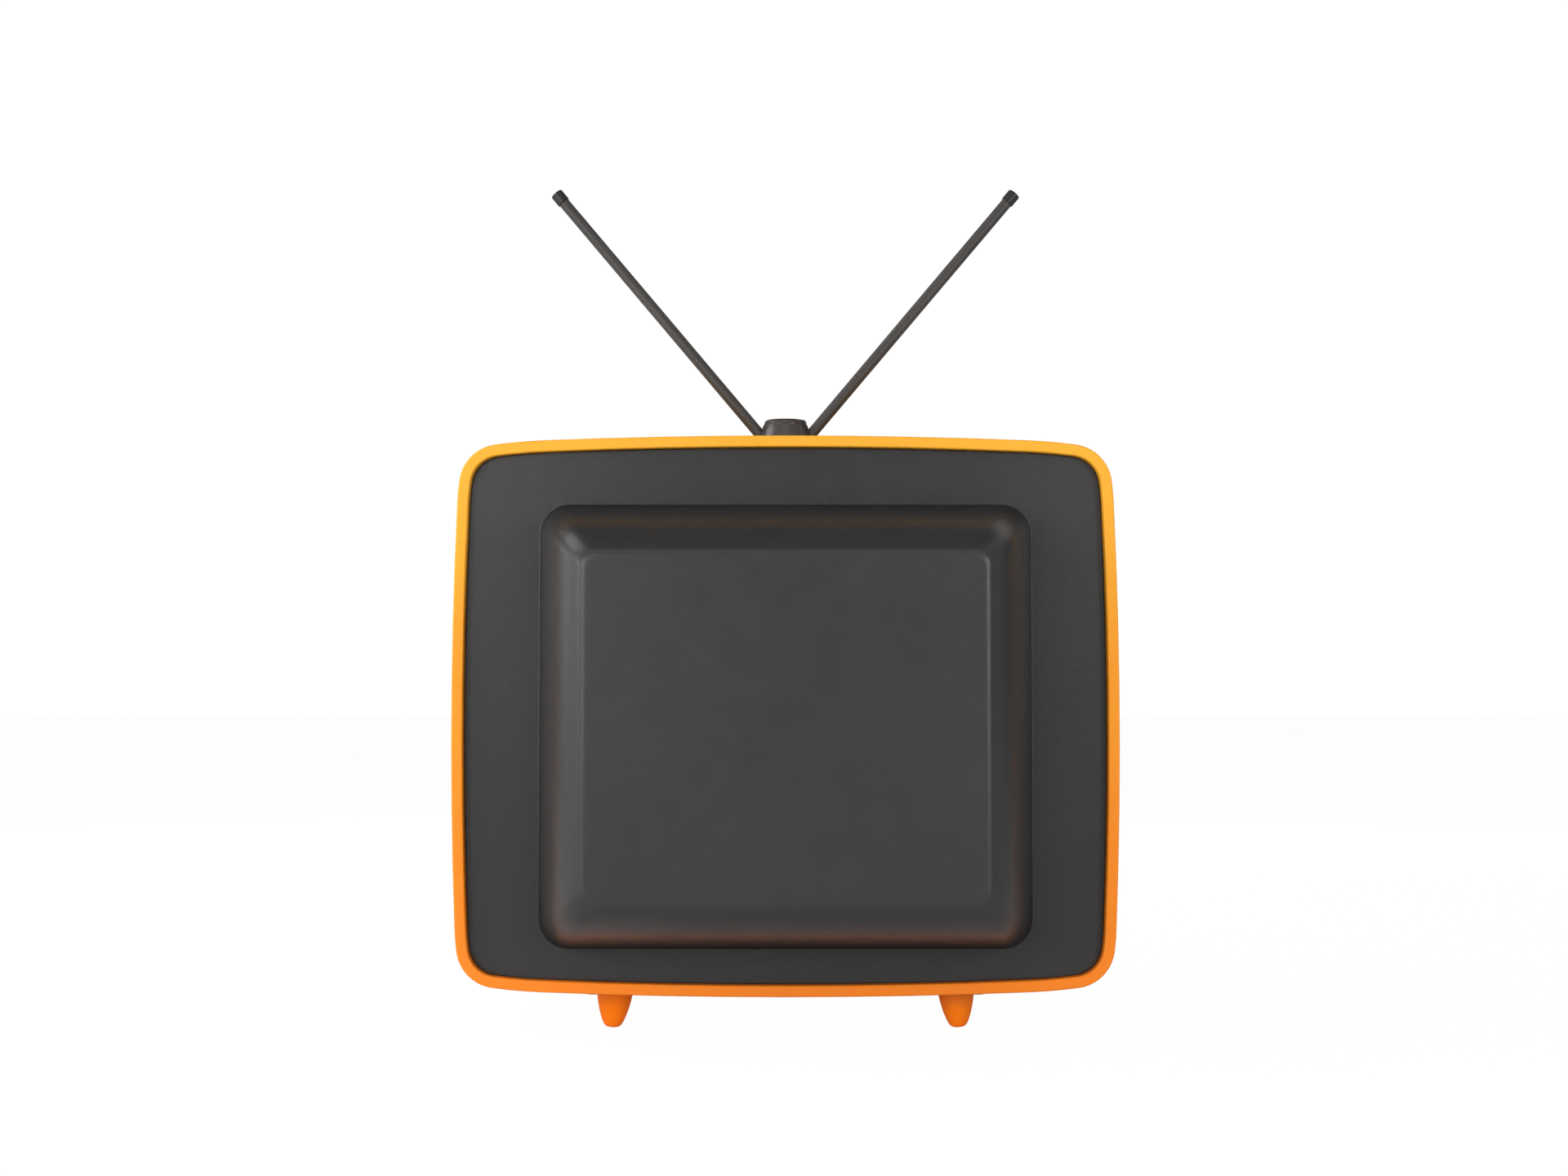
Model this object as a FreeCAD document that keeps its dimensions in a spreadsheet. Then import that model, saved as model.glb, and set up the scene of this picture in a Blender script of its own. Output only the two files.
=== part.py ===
import FreeCAD, Part
import math
import os
import Sketcher
from FreeCAD import Placement, Rotation, Vector

# Portable television, millimetres. +Z up, the screen faces -Y, +X is to the
# right of someone facing the screen. Origin: on the floor, under the middle of
# the whole object's box.

doc = FreeCAD.newDocument("portable_television")
sheet = doc.addObject("Spreadsheet::Sheet", "Dims")

# Driving dimensions: millimetres and degrees. Names ending in _x, _y or _z are
# places; the rest are sizes.
DIMS = dict(
    # cabinet outline: crowned sides, blend arcs and corner arcs, all tangent
    shell_width=380, shell_height=318.92, shell_mid_z=180.96,
    side_radius=2884.2, side_angle=2.4105, side_blend_radius=139.03,
    corner_radius=23.70, top_blend_radius=288.69,
    top_radius=3460.8, top_angle=2.2931,
    # cabinet depth, walls and ledges
    front_rim_y=-124.5, rear_rim_y=65.5, lip_thick=6.5, wall_thick=3.2,
    ledge_inset=10.0, ledge_thick=3.0, panel_thick=3.0, panel_gap=0.35,
    bezel_recess=5.0, cover_recess=6.0, rim_round=1.1,
    # cabinet posts, bosses, ears and openings
    post_x=130, post_front_y=-80, post_rear_y=30, post_top_z=34, post_radius=4,
    cover_screw_x=110, cover_screw_y=45.5, cover_boss_top_z=34.4,
    ear_x=150, ear_z=141.5, ear_radius=6,
    vent_width=4, vent_length=64, vent_pitch=12, vent_count=9,
    inlet_y=35, inlet_z=60, inlet_width=20, inlet_height=13,
    # rear cover housing
    bulge_face_width=217.8, bulge_face_height=189.6, bulge_depth=80,
    bulge_spread=31.5, bulge_knee_out=22, bulge_knee_up=67, bulge_drop=6.4,
    bulge_face_corner=8.8, bulge_base_corner=17.3, bulge_wall=2.8,
    # feet
    foot_height=22.9, foot_radius=10.5, foot_x=100.2, foot_splay=3.8,
    foot_rear_y=32.5, foot_front_y=-97.5,
    # picture tube
    tube_x=-43, tube_z=183, face_width=250, face_height=196, face_corner=26,
    face_apex_y=-119, face_radius=560, face_glass=11, face_back_y=-84,
    screen_width=240, screen_height=186, screen_corner=28,
    tube_lug_x=130, tube_lug_z=101, neck_radius=14.5, neck_bore=12.5,
    neck_end_y=118,
    # controls
    control_x=131, plate_width=80, plate_height=286, plate_thick=1.5,
    tuner_z=284, volume_z=226, small_z=191, small_dx=17, button_z=160,
    speaker_z=94, jack_z=47.5, knob_front_y=-139.5,
    channel_knob_radius=23, fine_ring_radius=29, volume_knob_radius=15,
    small_knob_radius=9, shaft_radius=3, run_gap=0.05,
    button_width=20, button_height=11,
    # chassis
    chassis_half=138, chassis_front_y=-88, chassis_rear_y=38, sheet_thick=1.2,
    board_z=43, board_thick=1.6, board_left_x=-60, board_right_x=120,
    board_front_y=-80, board_rear_y=30,
    # aerial
    aerial_y=-29.5, aerial_tilt=40.1, pivot_x=10.9, pivot_up=5.5,
    tube_outer=3.4, tube_wall=0.4, slide_gap=0.05, rod_end=195.2,
    rod_length=203.1, cap_radius=4.0, cone_base=20.3, cone_top=13.3,
    cone_height=19.6,
)


class Size:
    """A size: its spreadsheet expression and its number. Arithmetic keeps both."""

    def __init__(self, text, value):
        self.text = text
        self.value = float(value)

    def join(self, other, sign, flip=False):
        other = size(other)
        a, b = (other, self) if flip else (self, other)
        if sign == "+":
            value = a.value + b.value
        elif sign == "-":
            value = a.value - b.value
        elif sign == "*":
            value = a.value * b.value
        else:
            value = a.value / b.value
        return Size("(%s %s %s)" % (a.text, sign, b.text), value)

    def __add__(self, other): return self.join(other, "+")
    def __radd__(self, other): return self.join(other, "+", True)
    def __sub__(self, other): return self.join(other, "-")
    def __rsub__(self, other): return self.join(other, "-", True)
    def __mul__(self, other): return self.join(other, "*")
    def __rmul__(self, other): return self.join(other, "*", True)
    def __truediv__(self, other): return self.join(other, "/")
    def __neg__(self): return self.join(-1, "*")


def size(value):
    return value if isinstance(value, Size) else Size(repr(float(value)), value)


def sine(angle):
    return Size("sin(%s)" % angle.text, math.sin(math.radians(angle.value)))


class Dimensions:
    """The sheet's dimensions, each one a Size under its alias."""


dim = Dimensions()
for row, (alias, value) in enumerate(DIMS.items(), 1):
    sheet.set("A%d" % row, alias)
    sheet.set("B%d" % row, repr(value))
    sheet.setAlias("B%d" % row, alias)
    setattr(dim, alias, Size("Dims." + alias, value))
doc.recompute()

# Turns that send +Z along the named axis
TURNS = {"z": Rotation(), "-z": Rotation(Vector(1, 0, 0), 180),
         "y": Rotation(Vector(1, 0, 0), -90), "-y": Rotation(Vector(1, 0, 0), 90),
         "x": Rotation(Vector(0, 1, 0), 90)}

SIDES = (1, -1)
QUARTERS = ((1, 1), (-1, 1), (-1, -1), (1, -1))


def grid(xs, ys):
    return [(x, y) for x in xs for y in ys]


def corners(half_x, half_z, mid_x=0, mid_z=0):
    """The four corners of a rectangle about a middle point."""
    return [(mid_x + sx * half_x, mid_z + sz * half_z) for sx, sz in QUARTERS]


def polar(radius, degrees):
    angle = math.radians(degrees)
    return math.cos(angle) * radius, math.sin(angle) * radius


def bind(obj, prop, value):
    obj.setExpression(prop, size(value).text)


def place(obj, x, y, z, turn=None):
    if turn is not None:
        obj.Placement = Placement(Vector(), TURNS[turn] if isinstance(turn, str) else turn)
    for axis, value in zip("xyz", (x, y, z)):
        bind(obj, "Placement.Base." + axis, value)
    return obj


NODES = []
LARGE_SCREWS = []
SMALL_SCREWS = []
NUTS = []


def node(obj, label):
    """Give a finished piece its label, which is its file name."""
    obj.Label = label
    NODES.append(obj)


# ---- Part primitives and booleans ------------------------------------------

def box(size_x, size_y, size_z, x, y, z):
    """A box from its lowest corner."""
    obj = doc.addObject("Part::Box", "block")
    bind(obj, "Length", size_x)
    bind(obj, "Width", size_y)
    bind(obj, "Height", size_z)
    return place(obj, x, y, z)


def mid_box(size_x, size_y, size_z, x, y, z):
    """A box centred in X and Z, starting at y."""
    return box(size_x, size_y, size_z, size(x) - size(size_x) / 2, y, size(z) - size(size_z) / 2)


def cyl(radius, length, axis, x, y, z):
    """A cylinder that starts at the point and runs along the axis."""
    obj = doc.addObject("Part::Cylinder", "round")
    bind(obj, "Radius", radius)
    bind(obj, "Height", length)
    return place(obj, x, y, z, axis)


def ball(radius, x, y, z):
    obj = doc.addObject("Part::Sphere", "sphere")
    bind(obj, "Radius", radius)
    return place(obj, x, y, z)


def hexagon(corner_radius, length, axis, x, y, z):
    obj = doc.addObject("Part::Prism", "hexagon")
    obj.Polygon = 6
    bind(obj, "Circumradius", corner_radius)
    bind(obj, "Height", length)
    return place(obj, x, y, z, axis)


def fuse(*shapes):
    obj = doc.addObject("Part::MultiFuse", "joined")
    obj.Shapes = list(shapes)
    return obj


def cut(base, *tools):
    obj = doc.addObject("Part::Cut", "cut")
    obj.Base = base
    obj.Tool = tools[0] if len(tools) == 1 else fuse(*tools)
    return obj


def common(*shapes):
    obj = doc.addObject("Part::MultiCommon", "shared")
    obj.Shapes = list(shapes)
    return obj


def group(*shapes):
    obj = doc.addObject("Part::Compound", "group")
    obj.Links = list(shapes)
    return obj


def screw(axis, x, y, z, head_radius, head_height, shank_radius, shank_length):
    """A pan-head screw. Its head starts at the point and its shank follows axis."""
    head = cyl(head_radius, head_height, axis, x, y, z)
    shank = cyl(shank_radius, shank_length + head_height, axis, x, y, z)
    slot_length = head_radius * 1.7
    slot_width = 0.8
    slot_depth = head_height * 0.4
    back_off = slot_depth if axis.startswith("-") else 0
    if axis.endswith("y"):
        slot = mid_box(slot_length, slot_depth, slot_width, x, y - back_off, z)
    else:
        slot = box(slot_length, slot_width, slot_depth,
                   x - slot_length / 2, y - slot_width / 2, z - back_off)
    return cut(fuse(head, shank), slot)


def large_screw(axis, x, y, z):
    LARGE_SCREWS.append(screw(axis, x, y, z, head_radius=4, head_height=2.2,
                              shank_radius=1.9, shank_length=15.2))


def small_screw(axis, x, y, z):
    SMALL_SCREWS.append(screw(axis, x, y, z, head_radius=2.8, head_height=1.8,
                              shank_radius=1.2, shank_length=5.0))


# ---- PartDesign helpers ----------------------------------------------------

class Body:
    """A PartDesign body modelled about its own origin, then placed."""

    def __init__(self, name, x=0, y=0, z=0, turn=None):
        self.obj = doc.addObject("PartDesign::Body", name)
        self.count = 0
        place(self.obj, x, y, z, turn)

    def add(self, kind, suffix):
        self.count += 1
        return self.obj.newObject(kind, "%s_%s%d" % (self.obj.Name, suffix, self.count))

    def sketch(self, role="XZ_Plane", x=0, y=0, offset=0):
        """A sketch on an origin plane. Its origin is moved by x and y along the
        sketch's own axes and by offset along +Y, +Z or +X."""
        sketch = self.add("Sketcher::SketchObject", "sketch")
        plane = [f for f in self.obj.Origin.OriginFeatures if f.Role == role][0]
        sketch.AttachmentSupport = [(plane, "")]
        sketch.MapMode = "FlatFace"
        offset = size(offset)
        bind(sketch, "AttachmentOffset.Base.x", x)
        bind(sketch, "AttachmentOffset.Base.y", y)
        bind(sketch, "AttachmentOffset.Base.z", -offset if role == "XZ_Plane" else offset)
        sketch.Visibility = False
        return sketch

    def feature(self, kind, sketch, flip=False):
        feature = self.add("PartDesign::" + kind, kind.lower())
        feature.Profile = sketch
        feature.Reversed = flip
        return feature

    # Pads and pockets run towards the positive side of the sketch's plane; a
    # pocket with back=True cuts the other way.
    def pad(self, sketch, length):
        on_xz = sketch.AttachmentSupport[0][0].Role == "XZ_Plane"
        bind(self.feature("Pad", sketch, on_xz), "Length", length)

    def pocket(self, sketch, length=None, back=False):
        """Cut to a length, or through everything when no length is given."""
        on_xz = sketch.AttachmentSupport[0][0].Role == "XZ_Plane"
        pocket = self.feature("Pocket", sketch, on_xz == back)
        if length is None:
            pocket.Type = 1
        else:
            bind(pocket, "Length", length)
        return pocket

    def revolve(self, sketch):
        """Turn a profile through a full circle about the sketch's vertical axis."""
        turned = self.feature("Revolution", sketch)
        turned.ReferenceAxis = (sketch, ["V_Axis"])
        turned.Angle = 360

    def loft(self, sketches, kind="AdditiveLoft"):
        loft = self.add("PartDesign::" + kind, "loft")
        loft.Profile = sketches[0]
        loft.Sections = sketches[1:]
        loft.Ruled = False

    def round_edges(self, planes, radius):
        """Fillet every edge that lies flat in one of the planes y = value."""
        doc.recompute()
        base = self.obj.Tip
        names = []
        for index, edge in enumerate(base.Shape.Edges, 1):
            bounds = edge.BoundBox
            in_plane = any(abs(bounds.YMin - plane.value) < 1e-3 for plane in planes)
            if bounds.YLength < 1e-4 and in_plane:
                names.append("Edge%d" % index)
        fillet = self.obj.newObject("PartDesign::Fillet", "%s_fillet" % self.obj.Name)
        fillet.Base = (base, names)
        bind(fillet, "Radius", radius)


def fix(sketch, kind, refs, value, name):
    """A dimension of the sketch, bound to the sheet."""
    value = size(value)
    index = sketch.addConstraint(Sketcher.Constraint(kind, *refs, value.value))
    sketch.renameConstraint(index, name)
    sketch.setExpression("Constraints." + name, value.text)


def fix_point(sketch, geo, pos, x, y, tag):
    """Fix a point of the sketch at x, y from the sketch's origin."""
    for kind, place_on_axis, axis in (("DistanceX", size(x), -2), ("DistanceY", size(y), -1)):
        name = kind[-1].lower() + tag
        if abs(place_on_axis.value) < 1e-9:
            sketch.addConstraint(Sketcher.Constraint("PointOnObject", geo, pos, axis))
        elif place_on_axis.value > 0:
            fix(sketch, kind, (-1, 1, geo, pos), place_on_axis, name)
        else:
            fix(sketch, kind, (geo, pos, -1, 1), -place_on_axis, name)


def circles(sketch, radius, points=((0, 0),)):
    radius = size(radius)
    for k, (x, y) in enumerate(points):
        centre = Vector(size(x).value, size(y).value, 0)
        geo = sketch.addGeometry(Part.Circle(centre, Vector(0, 0, 1), radius.value))
        fix_point(sketch, geo, 3, x, y, "c%d" % k)
        fix(sketch, "Radius", (geo,), radius, "r%d" % k)
    return sketch


def polygon(sketch, points):
    count = len(points)
    ends = [Vector(size(x).value, size(y).value, 0) for x, y in points]
    for i in range(count):
        sketch.addGeometry(Part.LineSegment(ends[i], ends[(i + 1) % count]))
    for i in range(count):
        sketch.addConstraint(Sketcher.Constraint("Coincident", i, 2, (i + 1) % count, 1))
    for i, (x, y) in enumerate(points):
        fix_point(sketch, i, 1, x, y, "p%d" % i)
    return sketch


def add_arc(sketch, centre, radius, start, end):
    circle = Part.Circle(Vector(centre[0], centre[1], 0), Vector(0, 0, 1), radius)
    sketch.addGeometry(Part.ArcOfCircle(circle, start, end))


def rounded(sketch, width, height, radius):
    """A rounded rectangle about the sketch's origin."""
    width, height, radius = size(width), size(height), size(radius)
    right, top = width.value / 2, height.value / 2
    flat_x, flat_y = right - radius.value, top - radius.value
    # each line, then the centre of the arc that follows it
    pieces = (((-flat_x, -top), (flat_x, -top), (flat_x, -flat_y)),
              ((right, -flat_y), (right, flat_y), (flat_x, flat_y)),
              ((flat_x, top), (-flat_x, top), (-flat_x, flat_y)),
              ((-right, flat_y), (-right, -flat_y), (-flat_x, -flat_y)))
    for k, (start, end, centre) in enumerate(pieces):
        sketch.addGeometry(Part.LineSegment(Vector(*start, 0), Vector(*end, 0)))
        add_arc(sketch, centre, radius.value, math.radians(90 * k - 90), math.radians(90 * k))
    add = sketch.addConstraint
    for i in range(8):
        add(Sketcher.Constraint("Tangent", i, 2, (i + 1) % 8, 1))
    add(Sketcher.Constraint("Horizontal", 4))
    add(Sketcher.Constraint("Vertical", 6))
    for i in (3, 5, 7):
        add(Sketcher.Constraint("Equal", 1, i))
    add(Sketcher.Constraint("Symmetric", 0, 1, 0, 2, -2))
    add(Sketcher.Constraint("Symmetric", 2, 1, 2, 2, -1))
    fix(sketch, "Radius", (1,), radius, "corner")
    fix(sketch, "DistanceX", (4, 2, 4, 1), width - radius * 2, "flat_width")
    fix(sketch, "DistanceY", (2, 1, 2, 2), height - radius * 2, "flat_height")
    return sketch


def outline_arcs(side, blend, corner, top_blend, top):
    """The sixteen arcs (centre, radius, start, end) for radii already inset."""
    pi = math.pi
    quarter = pi / 2
    side_angle = math.radians(dim.side_angle.value)
    top_angle = math.radians(dim.top_angle.value)
    side_mid = (dim.shell_width.value / 2 - dim.side_radius.value, 0.0)
    blend_mid = (side_mid[0] + (side - blend) * math.cos(side_angle),
                 side_mid[1] + (side - blend) * math.sin(side_angle))
    top_mid = (0.0, dim.shell_height.value / 2 - dim.top_radius.value)
    top_blend_mid = ((top - top_blend) * math.sin(top_angle),
                     top_mid[1] + (top - top_blend) * math.cos(top_angle))
    # the corner arc's centre: where two circles about the blend centres meet
    from_blend = blend - corner
    from_top = top_blend - corner
    dx = top_blend_mid[0] - blend_mid[0]
    dy = top_blend_mid[1] - blend_mid[1]
    dist = math.hypot(dx, dy)
    along = (from_blend ** 2 - from_top ** 2 + dist ** 2) / (2 * dist)
    across = math.sqrt(from_blend ** 2 - along ** 2)
    meets = [(blend_mid[0] + (along * dx + s * across * dy) / dist,
              blend_mid[1] + (along * dy - s * across * dx) / dist) for s in (1, -1)]
    corner_mid = max(meets, key=lambda point: point[0])
    blend_end = math.atan2(corner_mid[1] - blend_mid[1], corner_mid[0] - blend_mid[0])
    corner_end = math.atan2(corner_mid[1] - top_blend_mid[1], corner_mid[0] - top_blend_mid[0])

    quad = [(blend_mid, blend, side_angle, blend_end),
            (corner_mid, corner, blend_end, corner_end),
            (top_blend_mid, top_blend, corner_end, quarter - top_angle)]
    arcs = [(side_mid, side, -side_angle, side_angle)] + quad
    arcs.append((top_mid, top, quarter - top_angle, quarter + top_angle))
    arcs += [((-c[0], c[1]), r, pi - end, pi - start) for c, r, start, end in reversed(quad)]
    arcs.append(((-side_mid[0], 0.0), side, pi - side_angle, pi + side_angle))
    arcs += [((-c[0], -c[1]), r, pi + start, pi + end) for c, r, start, end in quad]
    arcs.append(((0.0, -top_mid[1]), top, 3 * quarter - top_angle, 3 * quarter + top_angle))
    arcs += [((c[0], -c[1]), r, 2 * pi - end, 2 * pi - start)
             for c, r, start, end in reversed(quad)]
    return arcs


def outline(sketch, inset):
    """The cabinet's outline, moved inwards by inset: sixteen tangent arcs."""
    side = dim.side_radius - inset
    blend = dim.side_blend_radius - inset
    corner = dim.corner_radius - inset
    top_blend = dim.top_blend_radius - inset
    top = dim.top_radius - inset
    for arc in outline_arcs(*[r.value for r in (side, blend, corner, top_blend, top)]):
        add_arc(sketch, *arc)
    radii = [side, blend, corner, top_blend, top, top_blend, corner, blend] * 2
    add = sketch.addConstraint
    for i in range(16):
        add(Sketcher.Constraint("Tangent", i, 2, (i + 1) % 16, 1))
    for i, radius in enumerate(radii):
        fix(sketch, "Radius", (i,), radius, "radius%d" % i)
    for i, axis in ((0, -1), (8, -1), (4, -2), (12, -2)):
        add(Sketcher.Constraint("PointOnObject", i, 3, axis))
    side_centre = dim.side_radius - dim.shell_width / 2
    top_centre = dim.top_radius - dim.shell_height / 2
    side_end = side * sine(dim.side_angle)
    top_end = top * sine(dim.top_angle)
    for name, kind, value, places in (
            ("side_centre", "DistanceX", side_centre, ((0, 3, -1, 1), (-1, 1, 8, 3))),
            ("top_centre", "DistanceY", top_centre, ((4, 3, -1, 1), (-1, 1, 12, 3))),
            ("side_end", "DistanceY", side_end,
             ((-1, 1, 0, 2), (0, 1, -1, 1), (-1, 1, 8, 1), (8, 2, -1, 1))),
            ("top_end", "DistanceX", top_end,
             ((-1, 1, 4, 1), (4, 2, -1, 1), (12, 1, -1, 1), (-1, 1, 12, 2)))):
        for suffix, refs in zip("abcd", places):
            fix(sketch, kind, refs, value, "%s_%s" % (name, suffix))
    return sketch


# ---- shared places ---------------------------------------------------------

MID = dim.shell_mid_z
HALF_HEIGHT = dim.shell_height / 2
ROOF = MID + HALF_HEIGHT
FLOOR = MID - HALF_HEIGHT
BEZEL_FACE = dim.front_rim_y + dim.bezel_recess
BEZEL_BACK = BEZEL_FACE + dim.panel_thick
COVER_FACE = dim.rear_rim_y - dim.cover_recess
PLATE_FACE = BEZEL_FACE - dim.plate_thick
controls_x = dim.control_x
tube_x = dim.tube_x
tube_z = dim.tube_z
run_gap = dim.run_gap

FIT = 0.02                     # clearance between pieces that touch
SMALL_HEAD_REACH = 1.85        # a small screw's start, out from what it clamps
TAP_HOLE = 1.25                # radius of a hole that a small screw bites into
LARGE_TAP_HOLE = 1.95          # the same for a large screw

post_points = grid((dim.post_x, -dim.post_x), (dim.post_front_y, dim.post_rear_y))
ear_points = corners(dim.ear_x, dim.ear_z)
foot_screw_x = dim.foot_x - 1.3
foot_screw_points = grid((foot_screw_x, -foot_screw_x), (dim.foot_front_y, dim.foot_rear_y))

# ---- cabinet shell ---------------------------------------------------------

shell = Body("cabinet_shell", 0, 0, MID)
shell.pad(outline(shell.sketch(offset=dim.front_rim_y), 0), dim.rear_rim_y - dim.front_rim_y)
# panel seats at both ends, the opening between the ledges, then the cavity
shell.pocket(outline(shell.sketch(offset=dim.front_rim_y), dim.lip_thick),
             dim.bezel_recess + dim.panel_thick)
shell.pocket(outline(shell.sketch(offset=dim.rear_rim_y), dim.lip_thick),
             dim.cover_recess + dim.panel_thick, back=True)
shell.pocket(outline(shell.sketch(offset=dim.front_rim_y), dim.ledge_inset))
cavity_front = BEZEL_BACK + dim.ledge_thick
cavity_rear = COVER_FACE - dim.panel_thick - dim.ledge_thick
shell.pocket(outline(shell.sketch(offset=cavity_front), dim.wall_thick),
             cavity_rear - cavity_front)

# posts for the chassis, bosses for the cover screws, ears for the bezel screws
post_base_z = FLOOR + 3.9
shell.pad(circles(shell.sketch("XY_Plane", offset=post_base_z - MID),
                  dim.post_radius, post_points), dim.post_top_z - post_base_z)
boss_base_z = FLOOR + 3
boss_points = [(side * dim.cover_screw_x, dim.cover_screw_y) for side in SIDES]
shell.pad(circles(shell.sketch("XY_Plane", offset=boss_base_z - MID), 5, boss_points),
          dim.cover_boss_top_z - boss_base_z)
shell.pad(circles(shell.sketch(offset=BEZEL_BACK), dim.ear_radius, ear_points),
          dim.ledge_thick)

# screw holes in the ears, posts, bosses and floor
SHELL_SCREW_HOLE = 2.1
below_floor = FLOOR - 4 - MID
shell.pocket(circles(shell.sketch(offset=BEZEL_BACK - 1), 1.6, ear_points),
             dim.ledge_thick + 2)
shell.pocket(circles(shell.sketch("XY_Plane", offset=dim.post_top_z - 7 - MID),
                     TAP_HOLE, post_points), 8)
shell.pocket(circles(shell.sketch("XY_Plane", offset=below_floor), SHELL_SCREW_HOLE,
                     boss_points), dim.cover_boss_top_z - FLOOR + 6)
shell.pocket(circles(shell.sketch("XY_Plane", offset=below_floor), SHELL_SCREW_HOLE,
                     foot_screw_points), 12)
# aerial hole in the roof, inlet window in the -X side
shell.pocket(circles(shell.sketch("XY_Plane", y=dim.aerial_y, offset=HALF_HEIGHT - 6), 4.1), 12)
shell.pocket(rounded(shell.sketch("YZ_Plane", x=dim.inlet_y, y=dim.inlet_z - MID, offset=-196),
                     dim.inlet_width + 0.4, dim.inlet_height + 0.4, 0.15), 16)
# a row of vent slots across the floor
vent_row = dim.vent_pitch * (dim.vent_count - 1)
vent_sketch = rounded(shell.sketch("XY_Plane", x=-(vent_row / 2), y=-25, offset=below_floor),
                      dim.vent_width, dim.vent_length, 1.9)
vent = shell.pocket(vent_sketch, 12)
vents = shell.obj.newObject("PartDesign::LinearPattern", "shell_vents")
vents.Originals = [vent]
vents.Direction = (vent_sketch, ["H_Axis"])
bind(vents, "Length", vent_row)
vents.Occurrences = DIMS["vent_count"]
shell.obj.Tip = vents
shell.round_edges((dim.front_rim_y, dim.rear_rim_y), dim.rim_round)
node(shell.obj, "cabinet_shell")

# ---- rear cover ------------------------------------------------------------

cover = Body("rear_cover", 0, COVER_FACE, MID)
cover.pad(outline(cover.sketch(offset=-dim.panel_thick), dim.lip_thick + dim.panel_gap),
          dim.panel_thick)


def bulge_sections(inset, depth):
    """Sections from the panel out to the rear face. The flank is a quadratic
    curve through its knee; share is 1 at the panel and 0 at the face."""
    sections = []
    for share in (1.0, 0.8, 0.62, 0.45, 0.3, 0.15, 0.0):
        rest = 1 - share
        spread = 2 * share * rest * dim.bulge_knee_out + share * share * dim.bulge_spread
        rise = (rest ** 2 * dim.bulge_depth + 2 * share * rest * dim.bulge_knee_up)
        corner = (dim.bulge_face_corner
                  + (dim.bulge_base_corner - dim.bulge_face_corner) * spread / dim.bulge_spread)
        widen = spread * 2 - size(inset) * 2
        sketch = cover.sketch(y=-dim.bulge_drop, offset=rise * depth / dim.bulge_depth)
        sections.append(rounded(sketch, dim.bulge_face_width + widen,
                                dim.bulge_face_height + widen, corner - size(inset) * 0.5))
    return sections


cover.loft(bulge_sections(0, dim.bulge_depth))
cover.loft(bulge_sections(dim.bulge_wall, dim.bulge_depth - dim.bulge_wall), "SubtractiveLoft")
# open the panel into the housing
mouth_widen = dim.bulge_spread * 2 - dim.bulge_wall * 2
cover.pocket(rounded(cover.sketch(y=-dim.bulge_drop, offset=-dim.panel_thick - 1),
                     dim.bulge_face_width + mouth_widen, dim.bulge_face_height + mouth_widen,
                     dim.bulge_base_corner - dim.bulge_wall * 0.5), dim.panel_thick + 1)
# screw tabs along the bottom and stepped tongues along the top
TONGUE_X = 90
TONGUE_WIDTH = 16
boss_top = dim.cover_boss_top_z - MID
for side in SIDES:
    cover.pad(rounded(cover.sketch(x=side * dim.cover_screw_x, y=boss_top + 2.1, offset=-19.5),
                      14, 4, 0.5), 17)
    cover.pad(rounded(cover.sketch(x=side * TONGUE_X, y=HALF_HEIGHT - 13.4, offset=-10),
                      TONGUE_WIDTH, 3, 0.5), 7.5)
    cover.pad(rounded(cover.sketch(x=side * TONGUE_X, y=HALF_HEIGHT - 11.2, offset=-10),
                      TONGUE_WIDTH, 5.4, 0.5), 3.4)
cover.pocket(circles(cover.sketch("XY_Plane", offset=boss_top - 1), LARGE_TAP_HOLE,
                     [(x, y - COVER_FACE) for x, y in boss_points]), 8)
node(cover.obj, "rear_cover")

for x, y in boss_points:
    large_screw("z", x, y, FLOOR - 0.7)

# ---- feet ------------------------------------------------------------------

# Half profile: radius as a share of foot_radius, height in mm at the profile height
FOOT_PROFILE = (
    (0.0, -0.4), (0.10, -0.4), (0.24, 0.03), (0.38, 0.55), (0.46, 1.25), (0.535, 2.3),
    (0.60, 3.7), (0.71, 6.3), (0.80, 9.2), (0.865, 12.0), (0.92, 14.9), (0.967, 17.8),
    (1.0, 23.4), (0.0, 23.4))
FOOT_PROFILE_HEIGHT = 22.9


def make_foot(name, side, y):
    """A splayed foot, trimmed to the cabinet's curved floor and the ground."""
    foot = Body(name + "_turned", side * dim.foot_x, y, 0,
                Rotation(Vector(0, 1, 0), -side * DIMS["foot_splay"]))
    foot.revolve(polygon(foot.sketch(), [
        (dim.foot_radius * share, size(z) * dim.foot_height / FOOT_PROFILE_HEIGHT)
        for share, z in FOOT_PROFILE]))
    cabinet = cyl(dim.top_radius + FIT, 40, "y", 0, y - 20, FLOOR + dim.top_radius)
    ground = box(60, 60, 5, side * dim.foot_x - 30, y - 30, -5)
    screw_hole = cyl(2.0, 14, "z", side * foot_screw_x, y, 10.5)
    node(cut(foot.obj, cabinet, ground, screw_hole), name)


for end, y in (("front", dim.foot_front_y), ("rear", dim.foot_rear_y)):
    make_foot("foot_%s_left" % end, -1, y)
    make_foot("foot_%s_right" % end, 1, y)

for x, y in foot_screw_points:
    large_screw("-z", x, y, FLOOR + 7.1)

# ---- front bezel -----------------------------------------------------------

TUNER_BUSH = 6.0               # bush radii of the controls
VOLUME_BUSH = 4.4
SMALL_BUSH = 3.1
JACK_BUSH = 3
SPEAKER_SCREW = 33             # speaker screws, out from its middle in X and Z
small_pair = ((-dim.small_dx, 0), (dim.small_dx, 0))


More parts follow.
